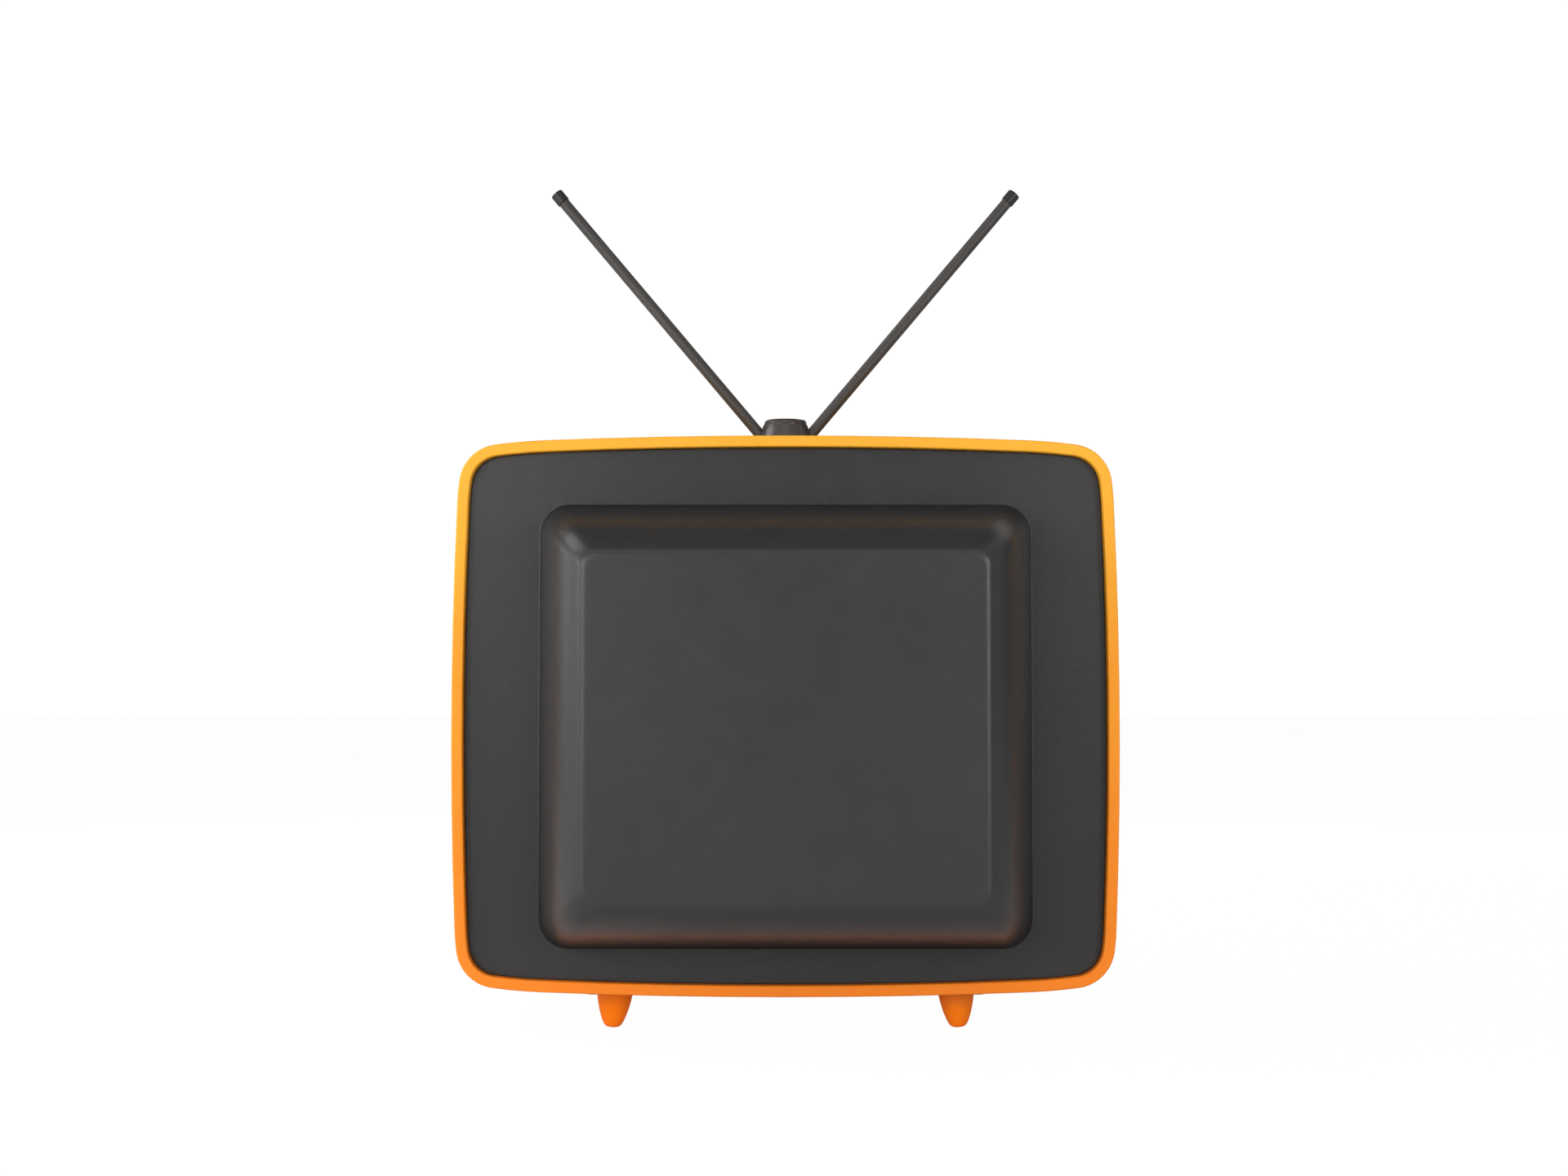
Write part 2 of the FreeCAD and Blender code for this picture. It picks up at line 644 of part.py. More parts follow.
def control_openings(part, x, speaker_radius, depth):
    """Cut the holes for the controls, the speaker, the jack and the button."""
    middle = ((0, 0),)
    for z, radius, points in ((dim.tuner_z, 6.1, middle), (dim.volume_z, 4.5, middle),
                              (dim.small_z, 3.2, small_pair),
                              (dim.speaker_z, speaker_radius, middle),
                              (dim.jack_z, 3.1, middle)):
        part.pocket(circles(part.sketch(x=x, y=z - MID, offset=-1), radius, points), depth)
    part.pocket(rounded(part.sketch(x=x, y=dim.button_z - MID, offset=-1),
                        dim.button_width + 0.4, dim.button_height + 0.4, 2), depth)


bezel = Body("front_bezel", 0, BEZEL_FACE, MID)
bezel.pad(outline(bezel.sketch(), dim.lip_thick + dim.panel_gap), dim.panel_thick)
bezel.pocket(rounded(bezel.sketch(x=tube_x, y=tube_z - MID, offset=-1),
                     dim.screen_width, dim.screen_height, dim.screen_corner),
             dim.panel_thick + 2)
# posts that carry the tube's lugs, then blind holes for the ear screws
lug_posts = corners(dim.tube_lug_x, dim.tube_lug_z, tube_x, tube_z - MID)
boss_start = dim.panel_thick - 0.5
bezel.pad(circles(bezel.sketch(offset=boss_start), 4, lug_posts), 20.9)
bezel.pocket(circles(bezel.sketch(offset=8.5), LARGE_TAP_HOLE, lug_posts), 17)
bezel.pocket(circles(bezel.sketch(offset=0.8), TAP_HOLE, ear_points), 3)
control_openings(bezel, controls_x, speaker_radius=34, depth=5)
# speaker screw bosses
speaker_corners = corners(SPEAKER_SCREW, SPEAKER_SCREW)
bezel.pad(circles(bezel.sketch(x=controls_x, y=dim.speaker_z - MID, offset=boss_start),
                  3.6, speaker_corners), 2.5)
bezel.pocket(circles(bezel.sketch(x=controls_x, y=dim.speaker_z - MID, offset=0.9),
                     TAP_HOLE, speaker_corners), 5)
node(bezel.obj, "front_bezel")

for x, z in corners(dim.ear_x, dim.ear_z, 0, MID):
    small_screw("-y", x, BEZEL_BACK + dim.ledge_thick + SMALL_HEAD_REACH, z)

# ---- control plate and speaker grille --------------------------------------

plate = Body("control_plate", controls_x, PLATE_FACE, MID)
plate.pad(rounded(plate.sketch(), dim.plate_width, dim.plate_height, 6), dim.plate_thick)
control_openings(plate, 0, speaker_radius=37, depth=4)
node(plate.obj, "control_plate")

GRILLE_PROUD = 0.6             # how far the grille stands in front of the plate
SLOT_REACH = 33                # radius that the slots' corners stay within
SLOT_PITCH = 7
grille = Body("speaker_grille", controls_x, PLATE_FACE, dim.speaker_z)
grille.pad(circles(grille.sketch(offset=-GRILLE_PROUD), 36.8),
           dim.plate_thick + GRILLE_PROUD - 0.05)
for k in range(-4, 5):
    half = math.sqrt(SLOT_REACH ** 2 - (abs(k) * SLOT_PITCH + 1.6) ** 2)
    grille.pocket(rounded(grille.sketch(y=SLOT_PITCH * k, offset=-2), 2 * half, 3.0, 1.4), 5)
node(grille.obj, "speaker_grille")

# ---- screen surround -------------------------------------------------------


def face_ball(radius):
    """A ball about the centre of the faceplate's outer curve."""
    return ball(radius, tube_x, dim.face_apex_y + dim.face_radius, tube_z)


SURROUND_FRONT = -122
surround = Body("surround_block", tube_x, 0, tube_z)
surround.pad(rounded(surround.sketch(offset=SURROUND_FRONT), dim.screen_width - 0.6,
                     dim.screen_height - 0.6, dim.screen_corner - 0.3), 24)
surround.pad(rounded(surround.sketch(offset=SURROUND_FRONT), dim.screen_width + 5,
                     dim.screen_height + 5, dim.screen_corner + 2.5), 2.45)
# a tapering opening: y, shrink of width and height, shrink of the corner
surround.loft([rounded(surround.sketch(offset=y), dim.screen_width - shrink,
                       dim.screen_height - shrink, dim.screen_corner - corner_shrink)
               for y, shrink, corner_shrink in ((-122.01, 4, 2), (-97.9, 15, 5))],
              "SubtractiveLoft")
node(cut(surround.obj, face_ball(dim.face_radius + 0.4)), "screen_surround")

# ---- picture tube glass ----------------------------------------------------


def slab(name, width, height, corner, front, back):
    """A rounded slab about the tube's axis, from y = front to y = back."""
    part = Body(name, tube_x, 0, tube_z)
    part.pad(rounded(part.sketch(offset=front), width, height, corner), size(back) - front)
    return part.obj


inner_radius = dim.face_radius - dim.face_glass
face_block = common(slab("face_slab", dim.face_width, dim.face_height, dim.face_corner,
                         -121, dim.face_back_y), face_ball(dim.face_radius))
hollow = common(slab("face_hollow", dim.face_width - 18, dim.face_height - 18, 20,
                     -112, dim.face_back_y + 1), face_ball(inner_radius))
node(cut(face_block, hollow), "tube_faceplate")

coat = common(slab("coat_slab", dim.face_width - 18.4, dim.face_height - 18.4, 19.8,
                   -112, -86.5), face_ball(inner_radius - 0.05))
node(cut(coat, face_ball(inner_radius - 0.6)), "phosphor_screen")

# Funnel stations: y, width, height, corner radius
FUNNEL = ((-83.9, 249, 195, 26), (-62, 222, 176, 42), (-40, 160, 134, 50),
          (-18, 92, 84, 38), (0, 50, 48, 22.5), (16, 29.8, 29.8, 14.8))
FUNNEL_GLASS = 3


def funnel_loft(name, inset):
    part = Body(name, tube_x, 0, tube_z)
    part.loft([rounded(part.sketch(offset=y), width - 2 * inset, height - 2 * inset,
                       corner - inset) for y, width, height, corner in FUNNEL])
    return part


outer_glass = funnel_loft("funnel_outside", 0)
outer_glass.pad(circles(outer_glass.sketch(offset=12), dim.neck_radius), dim.neck_end_y - 12)
inner_glass = funnel_loft("funnel_inside", FUNNEL_GLASS)
inner_glass.pad(circles(inner_glass.sketch(offset=10), dim.neck_bore - 0.8), 6)
bore = cyl(dim.neck_bore, dim.neck_end_y - 12, "y", tube_x, 12.5, tube_z)
node(cut(outer_glass.obj, inner_glass.obj, bore), "tube_funnel")


def neck_cyl(radius, length, y):
    """A cylinder on the tube's axis, from y towards the rear."""
    return cyl(radius, length, "y", tube_x, y, tube_z)


# seven pins on an eight-place circle
pin_ring = [polar(7.5, angle) for angle in range(0, 315, 45)]
gun = [neck_cyl(dim.neck_bore - 0.05, 5, 113), neck_cyl(6, 46, 67)]
gun += [neck_cyl(9, 2, y) for y in (66, 76, 86, 96, 105)]
gun += [cyl(0.6, 7, "y", tube_x + x, 117, tube_z + z) for x, z in pin_ring]
node(fuse(*gun), "electron_gun")

# ---- fittings on the tube --------------------------------------------------

BAND_FRONT = -96
LUG_THICK = 1.5
lug_points = corners(dim.tube_lug_x, dim.tube_lug_z)
band = Body("tension_band", tube_x, 0, tube_z)
band.pad(rounded(band.sketch(offset=BAND_FRONT), dim.face_width + 2.8,
                 dim.face_height + 2.8, dim.face_corner + 1.4), 9)
band.pad(circles(band.sketch(offset=BAND_FRONT), 6.5, lug_points), LUG_THICK)
for sx, sz in QUARTERS:
    band.pad(polygon(band.sketch(offset=BAND_FRONT),
                     [(sx * x, sz * z) for x, z in
                      ((96, 93), (119, 71), (134.6, 96.4), (125.4, 105.6))]), LUG_THICK)
band.pocket(rounded(band.sketch(offset=BAND_FRONT - 1), dim.face_width + 0.2,
                    dim.face_height + 0.2, dim.face_corner + 0.1), 12)
band.pocket(circles(band.sketch(offset=BAND_FRONT - 1), 2.2, lug_points), 4)
node(band.obj, "tension_band")

for x, z in corners(dim.tube_lug_x, dim.tube_lug_z, tube_x, tube_z):
    large_screw("-y", x, -92.25, z)

# Half profiles about the tube's axis: radius, y
COIL_PROFILE = ((28, 0), (20.5, 18), (15.4, 30), (15.4, 46), (27, 46), (27, 40), (21.6, 39),
                (21.8, 33), (30, 14), (37, 8.5), (44, 8), (46, 0))
CORE_PROFILE = ((30.8, 14.2), (22.2, 33.4), (22.2, 38.5), (30, 38.5), (41, 14.2))
for name, profile in (("deflection_coils", COIL_PROFILE), ("deflection_core", CORE_PROFILE)):
    part = Body(name, tube_x, 0, tube_z)
    part.revolve(polygon(part.sketch("XY_Plane"), profile))
    node(part.obj, name)

# a split ring with a screw ear on top
CLAMP_Y = 47
CLAMP_WIDTH = 8
clamp = cut(fuse(neck_cyl(19, CLAMP_WIDTH, CLAMP_Y),
                 box(10, CLAMP_WIDTH, 9, tube_x - 5, CLAMP_Y, tube_z + 16)),
            neck_cyl(dim.neck_radius + 0.05, CLAMP_WIDTH, CLAMP_Y),
            box(2, CLAMP_WIDTH, 14, tube_x - 1, CLAMP_Y, tube_z + 13),
            cyl(TAP_HOLE, 12, "x", tube_x - 6, CLAMP_Y + CLAMP_WIDTH / 2, tube_z + 21.5))
node(clamp, "coil_clamp")

MAGNET_THICK = 1.6
magnets = [cut(fuse(neck_cyl(22, MAGNET_THICK, y),
                    box(5, MAGNET_THICK, 9, tube_x - 2.5 + tab_shift, y, tube_z + 19)),
               neck_cyl(dim.neck_radius + 0.1, MAGNET_THICK, y))
           for y, tab_shift in ((57, -6), (59.2, 6))]
node(group(*magnets), "centring_magnets")

node(cut(fuse(neck_cyl(15, 9, 118.6), neck_cyl(10, 0.4, 118.2)),
         *[cyl(0.72, 7, "y", tube_x + x, 118.1, tube_z + z) for x, z in pin_ring]),
     "tube_socket")

# the board, then small blocks on its front: x and z from the tube's axis
neck_parts = [box(62, 1.6, 54, tube_x - 31, 127.7, tube_z - 27)]
neck_parts += [box(7, 3.5, 3, tube_x + x, 124.2, tube_z + z)
               for x, z in ((-27, 18), (-27, 12), (18, 18), (18, -20), (-26, -20))]
node(fuse(*neck_parts), "neck_board")

# a tapered cap, seated on the funnel glass
skirt = doc.addObject("Part::Cone", "cap_skirt")
place(skirt, tube_x, -52, tube_z + 73, Rotation(Vector(1, 0, 0), -37))
bind(skirt, "Radius1", 13)
bind(skirt, "Radius2", 4.5)
bind(skirt, "Height", 13)
node(cut(skirt, outer_glass.obj), "anode_cap")

# ---- chassis and main board ------------------------------------------------

TRAY_FLANGE = 9                # height of the flanges at the front and the rear
SPACER_INSET = 6               # spacers, in from the board's edges
tray_z = dim.post_top_z + 0.05
tray_top = tray_z + dim.sheet_thick
tray_width = dim.chassis_half * 2
tray_depth = dim.chassis_rear_y - dim.chassis_front_y
spacer_points = grid((dim.board_left_x + SPACER_INSET, dim.board_right_x - SPACER_INSET),
                     (dim.board_front_y + SPACER_INSET, dim.board_rear_y - SPACER_INSET))
tray = fuse(
    box(tray_width, tray_depth, dim.sheet_thick, -dim.chassis_half, dim.chassis_front_y, tray_z),
    box(tray_width, dim.sheet_thick, TRAY_FLANGE,
        -dim.chassis_half, dim.chassis_rear_y - dim.sheet_thick, tray_z),
    box(tray_width - 80, dim.sheet_thick, TRAY_FLANGE,
        -dim.chassis_half, dim.chassis_front_y, tray_z),
    *[cyl(3.4, dim.board_z - tray_z, "z", x, y, tray_z) for x, y in spacer_points])
holes = [cyl(TAP_HOLE, 6, "z", x, y, dim.board_z - 5) for x, y in spacer_points]
holes += [cyl(1.9, 6, "z", x, y, tray_z - 2) for x, y in post_points]
holes += [box(60, 5, 6, -40, y, tray_z - 2) for y in (-60, -45, -30, -15, 0)]
node(cut(tray, *holes), "chassis_tray")
for x, y in post_points:
    small_screw("-z", x, y, tray_top + SMALL_HEAD_REACH)

board = box(dim.board_right_x - dim.board_left_x, dim.board_rear_y - dim.board_front_y,
            dim.board_thick, dim.board_left_x, dim.board_front_y, dim.board_z + FIT)
node(cut(board, *[cyl(1.7, 5, "z", x, y, dim.board_z - 1) for x, y in spacer_points]),
     "main_board")
board_top = dim.board_z + dim.board_thick + 2 * FIT
for x, y in spacer_points:
    small_screw("-z", x, y, board_top + 1.8)

# ---- parts on the chassis and the board ------------------------------------

# mains transformer: a core with two windows and a coil round its middle limb
mains_x = -98
mains_y = 5
mains_z = tray_top + FIT
mains_core = cut(box(60, 30, 50, mains_x - 30, mains_y - 15, mains_z),
                 box(10, 32, 30, mains_x - 20, mains_y - 16, mains_z + 10),
                 box(10, 32, 30, mains_x + 10, mains_y - 16, mains_z + 10))
mains_coil = cut(box(39.4, 46, 29, mains_x - 19.7, mains_y - 23, mains_z + 10.5),
                 box(20.4, 30.4, 29, mains_x - 10.2, mains_y - 15.2, mains_z + 10.5))
node(group(mains_core, mains_coil), "mains_transformer")

# line transformer: a one-window core with a round coil on its -X limb
line_x = 97
line_y = 5
line_core = cut(box(44, 12, 50, line_x - 22, line_y - 6, board_top),
                box(24, 14, 28, line_x - 12, line_y - 7, board_top + 11))
line_coil = cut(cyl(15, 27.4, "z", line_x - 17, line_y, board_top + 11.3),
                box(10.2, 12.2, 28, line_x - 22.1, line_y - 6.1, board_top + 11.2))
node(group(line_core, line_coil), "line_transformer")

# heat sink: a plate with fins behind it and a flanged can on its front
fins = [box(60, 3, 40, -46, 12, board_top)]
fins += [box(1.6, 12, 40, -45 + 8.1 * k, 14.5, board_top) for k in range(8)]
power_can = fuse(cyl(10, 6, "-y", -16, 12.1, board_top + 20),
                 box(34, 1.8, 14, -33, 10.3, board_top + 13))
node(fuse(*fins, power_can), "heat_sink")

# x, y, radius, height
CAPACITORS = ((30, 2, 10, 34), (53, 2, 10, 34), (30, -26, 8, 26), (52, -26, 6.5, 20))
node(group(*[fuse(cyl(radius, height, "z", x, y, board_top),
                  cyl(radius - 0.5, height + 0.4, "z", x, y, board_top))
             for x, y, radius, height in CAPACITORS]), "filter_capacitors")


def dimpled_block(x, y):
    """A square block with a round dimple in its top."""
    return cut(box(11, 11, 14, x, y, board_top),
               cyl(2, 3, "z", x + 5.5, y + 5.5, board_top + 12))


def lying_part(x, y):
    """A cylinder lying along X on a bent-down wire."""
    wire_z = board_top + 2.2
    return fuse(cyl(1.6, 7, "x", x, y, wire_z), cyl(0.4, 11, "x", x - 2, y, wire_z),
                cyl(0.4, 2.4, "z", x - 1.7, y, board_top),
                cyl(0.4, 2.4, "z", x + 8.7, y, board_top))


def disc_part(x, y):
    """An upright disc on two legs."""
    return fuse(cyl(4, 2.4, "y", x, y, board_top + 5),
                cyl(0.4, 3, "z", x - 2, y + 1.2, board_top),
                cyl(0.4, 3, "z", x + 2, y + 1.2, board_top))


def flatted_part(x, y):
    """An upright cylinder on a leg, flattened on its rear side."""
    return cut(fuse(cyl(2.6, 5, "z", x, y, board_top + 2), cyl(0.5, 3, "z", x, y, board_top)),
               box(6, 2, 6, x - 3, y + 1.4, board_top + 1.5))


# x, y on the board
SMALL_PARTS = (
    (dimpled_block, ((-50, -70), (-34, -70), (-18, -70), (-2, -70), (14, -70))),
    (lying_part, ((-50, -50), (-50, -42), (-50, -34), (-30, -50), (-30, -42), (-30, -34),
                  (-10, -50), (-10, -42), (-10, -34), (40, -50), (40, -60), (60, -60),
                  (60, -50), (80, -60), (80, -50))),
    (disc_part, ((-45, -22), (-33, -22), (-21, -22), (-9, -22), (10, -50), (10, -40),
                 (70, -40), (82, -40))),
    (flatted_part, ((-45, -10), (-30, -10), (-15, -10), (24, -50), (24, -40), (100, -50))),
)
node(group(*[make(x, y) for make, points in SMALL_PARTS for x, y in points]),
     "small_components")

# ---- tuner -----------------------------------------------------------------


def panel_nut(corner_radius, height, bush_radius, x, z):
    """A hexagon nut on a bush, against the front of the control plate."""
    NUTS.append(cut(hexagon(corner_radius, height, "-y", x, PLATE_FACE - FIT, z),
                    cyl(bush_radius + FIT, 4, "-y", x, PLATE_FACE + 1, z)))


CAN_SIZE = 50
CAN_WALL = 0.8
CAN_INSIDE = CAN_SIZE - 2 * CAN_WALL
BUSH_REACH = 2.6               # how far the bush stands in front of the plate
can_y = BEZEL_BACK + 8.5
sleeve_radius = dim.shaft_radius + run_gap + 1.35


def tuner_cyl(radius, length, y):
    """A cylinder on the tuner's axis, from y towards the rear."""
    return cyl(radius, length, "y", controls_x, y, dim.tuner_z)


can = cut(mid_box(CAN_SIZE, CAN_SIZE, CAN_SIZE, controls_x, can_y, dim.tuner_z),
          mid_box(CAN_INSIDE, CAN_INSIDE, CAN_INSIDE, controls_x, can_y + CAN_WALL, dim.tuner_z))
bush = tuner_cyl(TUNER_BUSH, can_y + CAN_WALL - PLATE_FACE + BUSH_REACH,
                 PLATE_FACE - BUSH_REACH)
node(cut(fuse(can, bush, tuner_cyl(9, 8.6, BEZEL_BACK + FIT)),
         tuner_cyl(sleeve_radius + run_gap, 40, PLATE_FACE - 5)), "tuner_box")

panel_nut(9.5, 2.2, TUNER_BUSH, controls_x, dim.tuner_z)
panel_nut(7.2, 1.8, VOLUME_BUSH, controls_x, dim.volume_z)
for side in (-1, 1):
    panel_nut(5.4, 1.6, SMALL_BUSH, controls_x + side * dim.small_dx, dim.small_z)

# fine tuning: a cupped ring and its sleeve, notched round the rim
ring_y = PLATE_FACE - 7.2
ring_bore = dim.shaft_radius + run_gap
ring_radius = dim.fine_ring_radius
ring = Body("fine_tuning_turned", controls_x, ring_y, dim.tuner_z)
ring.revolve(polygon(ring.sketch("XY_Plane"), [
    (ring_bore, 0), (ring_radius - 2, 0), (ring_radius, 2.2), (ring_radius, 6.4),
    (ring_radius - 2.4, 6.4), (ring_radius - 2.4, 2.4), (sleeve_radius, 2.4),
    (sleeve_radius, 20.5), (ring_bore, 20.5)]))
notches = []
for angle in range(0, 360, 10):
    x, z = polar(ring_radius + 0.45, angle)
    notches.append(cyl(0.9, 8, "y", controls_x + x, ring_y - 0.5, dim.tuner_z + z))
node(cut(ring.obj, *notches), "fine_tuning_ring")

# channel knob: a turned dial with a cut on each side that leaves a bar grip
dial_back = ring_y - 0.5
dial_depth = dial_back - dim.knob_front_y
dial_radius = dim.channel_knob_radius
dial = Body("channel_knob_turned", controls_x, dim.knob_front_y, dim.tuner_z)
dial.revolve(polygon(dial.sketch("XY_Plane"), [
    (0, 0), (11, 0), (12.4, 1.0), (13, 5.6), (dial_radius - 1.6, 6.6), (dial_radius, 8.0),
    (dial_radius, dial_depth), (dial_radius - 2, dial_depth), (dial_radius - 2, 8.9),
    (6.2, 8.4), (6.2, dial_depth), (0, dial_depth)]))
grip_cuts = [box(20, 5.4, 40, controls_x + x, dim.knob_front_y - 0.1, dim.tuner_z - 20)
             for x in (4.2, -24.2)]
node(cut(dial.obj, tuner_cyl(dim.shaft_radius, 9, dial_back - 8.6), *grip_cuts),
     "channel_knob")

shaft_front = dial_back - 8.5
node(tuner_cyl(dim.shaft_radius, can_y + 46 - shaft_front, shaft_front), "tuner_shaft")

# drum: two end discs, a hub and twelve round bars
bars = []
for angle in range(0, 360, 30):
    x, z = polar(15.5, angle)
    bars.append(cyl(3.6, 28, "y", controls_x + x, can_y + 13, dim.tuner_z + z))
node(cut(fuse(tuner_cyl(17, 2, can_y + 12), tuner_cyl(17, 2, can_y + 40),
              tuner_cyl(7, 28, can_y + 13), *bars),
         tuner_cyl(dim.shaft_radius + FIT, 60, can_y)), "tuner_drum")

# ---- volume and picture controls -------------------------------------------


def pot(x, z, can_radius, can_length, bush_radius, shaft_radius):
    """A rotary control: can, bush and a flat tab below, bored for its shaft."""
    return cut(fuse(cyl(can_radius, can_length, "y", x, BEZEL_BACK + FIT, z),
                    cyl(bush_radius, BEZEL_BACK - PLATE_FACE + 2.3, "y", x, PLATE_FACE - 2.2, z),
                    box(can_radius * 1.2, 1.2, 8,
                        x - can_radius * 0.6, BEZEL_BACK + 3, z - can_radius - 6)),
               cyl(shaft_radius + run_gap, 12 + can_length, "y", x, PLATE_FACE - 5, z))


def pot_knob(label, x, z, radius, shaft_radius, front, cavity_radius, flutes):
    """A fluted knob in one piece with its spindle, hollow to clear the nut."""
    part = Body(label + "_turned", x, front, z)
    length = PLATE_FACE - 0.6 - front
    solid_length = length - 3.0
    part.revolve(polygon(part.sketch("XY_Plane"), [
        (0, 0), (radius * 0.78, 0), (radius * 0.86, 0.8), (radius * 0.92, length - 2.2),
        (radius, length - 1.6), (radius, length), (cavity_radius, length),
        (cavity_radius, solid_length), (0, solid_length)]))
    cuts = []
    for k in range(flutes):
        flute_x, flute_z = polar(radius * 0.93, 360 * k / flutes)
        cuts.append(cyl(0.7, solid_length, "y", x + flute_x, front - 0.1, z + flute_z))
    spindle = cyl(shaft_radius, length + 10, "y", x, front + 4, z)
    node(fuse(cut(part.obj, *cuts), spindle), label)


VOLUME_SHAFT = 3
SMALL_SHAFT = 2
node(pot(controls_x, dim.volume_z, 12, 10, VOLUME_BUSH, VOLUME_SHAFT), "volume_control")
pot_knob("volume_knob", controls_x, dim.volume_z, dim.volume_knob_radius, VOLUME_SHAFT,
         front=dim.knob_front_y + 1.5, cavity_radius=8.2, flutes=20)
node(group(*[pot(controls_x + side * dim.small_dx, dim.small_z, 8, 8, SMALL_BUSH, SMALL_SHAFT)
             for side in (-1, 1)]), "picture_controls")
for label, side in (("brightness_knob", -1), ("contrast_knob", 1)):
    pot_knob(label, controls_x + side * dim.small_dx, dim.small_z, dim.small_knob_radius,
             SMALL_SHAFT, front=dim.knob_front_y + 5, cavity_radius=6, flutes=16)

# ---- power button, switch and spring ---------------------------------------

button_front = PLATE_FACE - 5
flange_y = BEZEL_BACK + 0.2
flange_back = flange_y + 1.5
button = Body("power_button", controls_x, 0, dim.button_z)
button.pad(rounded(button.sketch(offset=button_front), dim.button_width,
                   dim.button_height, 1.8), flange_y + 1 - button_front)
button.pad(rounded(button.sketch(offset=flange_y), dim.button_width + 3,
                   dim.button_height + 3, 2), 1.5)
button.pad(circles(button.sketch(offset=flange_y + 1), 2), 15.6)
button.round_edges((button_front,), 0.7)
node(button.obj, "power_button")

switch_y = BEZEL_BACK + 15.5
switch_posts = [cyl(2.2, 16, "y", controls_x + x, BEZEL_BACK + FIT, dim.button_z)
                for x in (-15, 15)]
node(cut(fuse(mid_box(36, 12, 12, controls_x, switch_y, dim.button_z), *switch_posts),
         cyl(2.12, 9, "y", controls_x, switch_y - 1, dim.button_z)), "power_switch")

SPRING_TURNS = 6
SPRING_END = 0.45              # room left at each end for the wire
spring = Body("button_spring", controls_x, flange_back + SPRING_END, dim.button_z, "y")
spring_sketch = circles(spring.sketch(), 0.35, ((3.6, 0),))
turns = spring.obj.newObject("PartDesign::AdditiveHelix", "spring_turns")
turns.Profile = spring_sketch
turns.ReferenceAxis = (spring_sketch, ["V_Axis"])
turns.Mode = "pitch-turns-angle"
bind(turns, "Pitch", (switch_y - flange_back - 2 * SPRING_END) / SPRING_TURNS)
turns.Turns = SPRING_TURNS
node(spring.obj, "button_spring")

# ---- speaker ---------------------------------------------------------------

FLANGE_THICK = 1.2
speaker_y = BEZEL_BACK + 2 + FIT
speaker_z = dim.speaker_z
# Half profiles about the speaker's axis: radius, y from the flange's front
BASKET_PROFILE = ((34, 0), (38, 0), (38, 1.2), (36.4, 1.2), (20, 18), (20, 21), (7.5, 21),
                  (7.5, 19.6), (18.8, 19.6), (18.8, 18), (34, 2.4))
CONE_PROFILE = ((33.6, 1.0), (33.6, 1.6), (31.0, 1.6), (29.5, 2.4), (8.0, 14.6), (7.2, 19),
                (6.6, 19), (6.6, 13), (3.5, 11.6), (0, 11.0), (0, 10.5), (3.7, 11.1),
                (7.2, 12.9), (29.2, 1.9), (30.8, 1.0))
speaker_screws = corners(SPEAKER_SCREW, SPEAKER_SCREW, controls_x, speaker_z)

basket = Body("speaker_basket_turned", controls_x, speaker_y, speaker_z)
basket.revolve(polygon(basket.sketch("XY_Plane"), BASKET_PROFILE))
flange = cut(mid_box(78, FLANGE_THICK, 78, controls_x, speaker_y, speaker_z),
             cyl(36, 3, "y", controls_x, speaker_y - 1, speaker_z))
screw_holes = [cyl(1.5, 4, "y", x, speaker_y - 1, z) for x, z in speaker_screws]
windows = []
for angle in range(45, 360, 90):
    x, z = polar(28, angle)
    windows.append(mid_box(9, 40, 9, controls_x + x, speaker_y + 6, speaker_z + z))
node(cut(fuse(basket.obj, flange), *screw_holes, *windows), "speaker_basket")

node(cyl(19, 11, "y", controls_x, speaker_y + 21.05, speaker_z), "speaker_magnet")

paper = Body("speaker_cone", controls_x, speaker_y, speaker_z)
paper.revolve(polygon(paper.sketch("XY_Plane"), CONE_PROFILE))
node(paper.obj, "speaker_cone")

for x, z in speaker_screws:
    small_screw("-y", x, speaker_y + FLANGE_THICK + SMALL_HEAD_REACH, z)

# ---- earphone socket and mains inlet ---------------------------------------

node(cut(fuse(cyl(JACK_BUSH, BEZEL_BACK - PLATE_FACE + 1.7, "y",
                  controls_x, PLATE_FACE - 1.6, dim.jack_z),
              mid_box(12, 13, 9, controls_x, BEZEL_BACK + FIT, dim.jack_z)),
         cyl(1.8, 14.5, "y", controls_x, PLATE_FACE - 2, dim.jack_z)), "earphone_socket")
panel_nut(4.6, 1.4, JACK_BUSH, controls_x, dim.jack_z)


def inlet_block(length, x, margin):
    """A block along X about the inlet's axis, wider than the inlet by margin all round."""
    return box(length, dim.inlet_width + 2 * margin, dim.inlet_height + 2 * margin, x,
               dim.inlet_y - dim.inlet_width / 2 - margin,
               dim.inlet_z - dim.inlet_height / 2 - margin)


def inlet_pair(radius, length, x):
    """Two cylinders along X, side by side in the inlet."""
    return [cyl(radius, length, "x", x, dim.inlet_y + side * 4.2, dim.inlet_z)
            for side in (-1, 1)]


inlet = cut(fuse(inlet_block(20, -186.9, 0), inlet_block(2, -181.4, 2.5)),
            *inlet_pair(4.4, 10, -187.5))
node(fuse(inlet, *inlet_pair(1.1, 9.3, -186.2)), "mains_inlet")

# ---- aerial ----------------------------------------------------------------

aerial_y = dim.aerial_y
STUD_RADIUS = 4.0
node(cut(fuse(cyl(STUD_RADIUS, 21.5, "z", 0, aerial_y, ROOF - 17.2),
              cyl(6.6, 1.4, "z", 0, aerial_y, ROOF + 4.25)),
         cyl(1.7, 30, "z", 0, aerial_y, ROOF - 20)), "aerial_stud")
NUTS.append(cut(hexagon(8, 4, "z", 0, aerial_y, ROOF - 7.25),
                cyl(STUD_RADIUS + FIT, 6, "z", 0, aerial_y, ROOF - 8)))

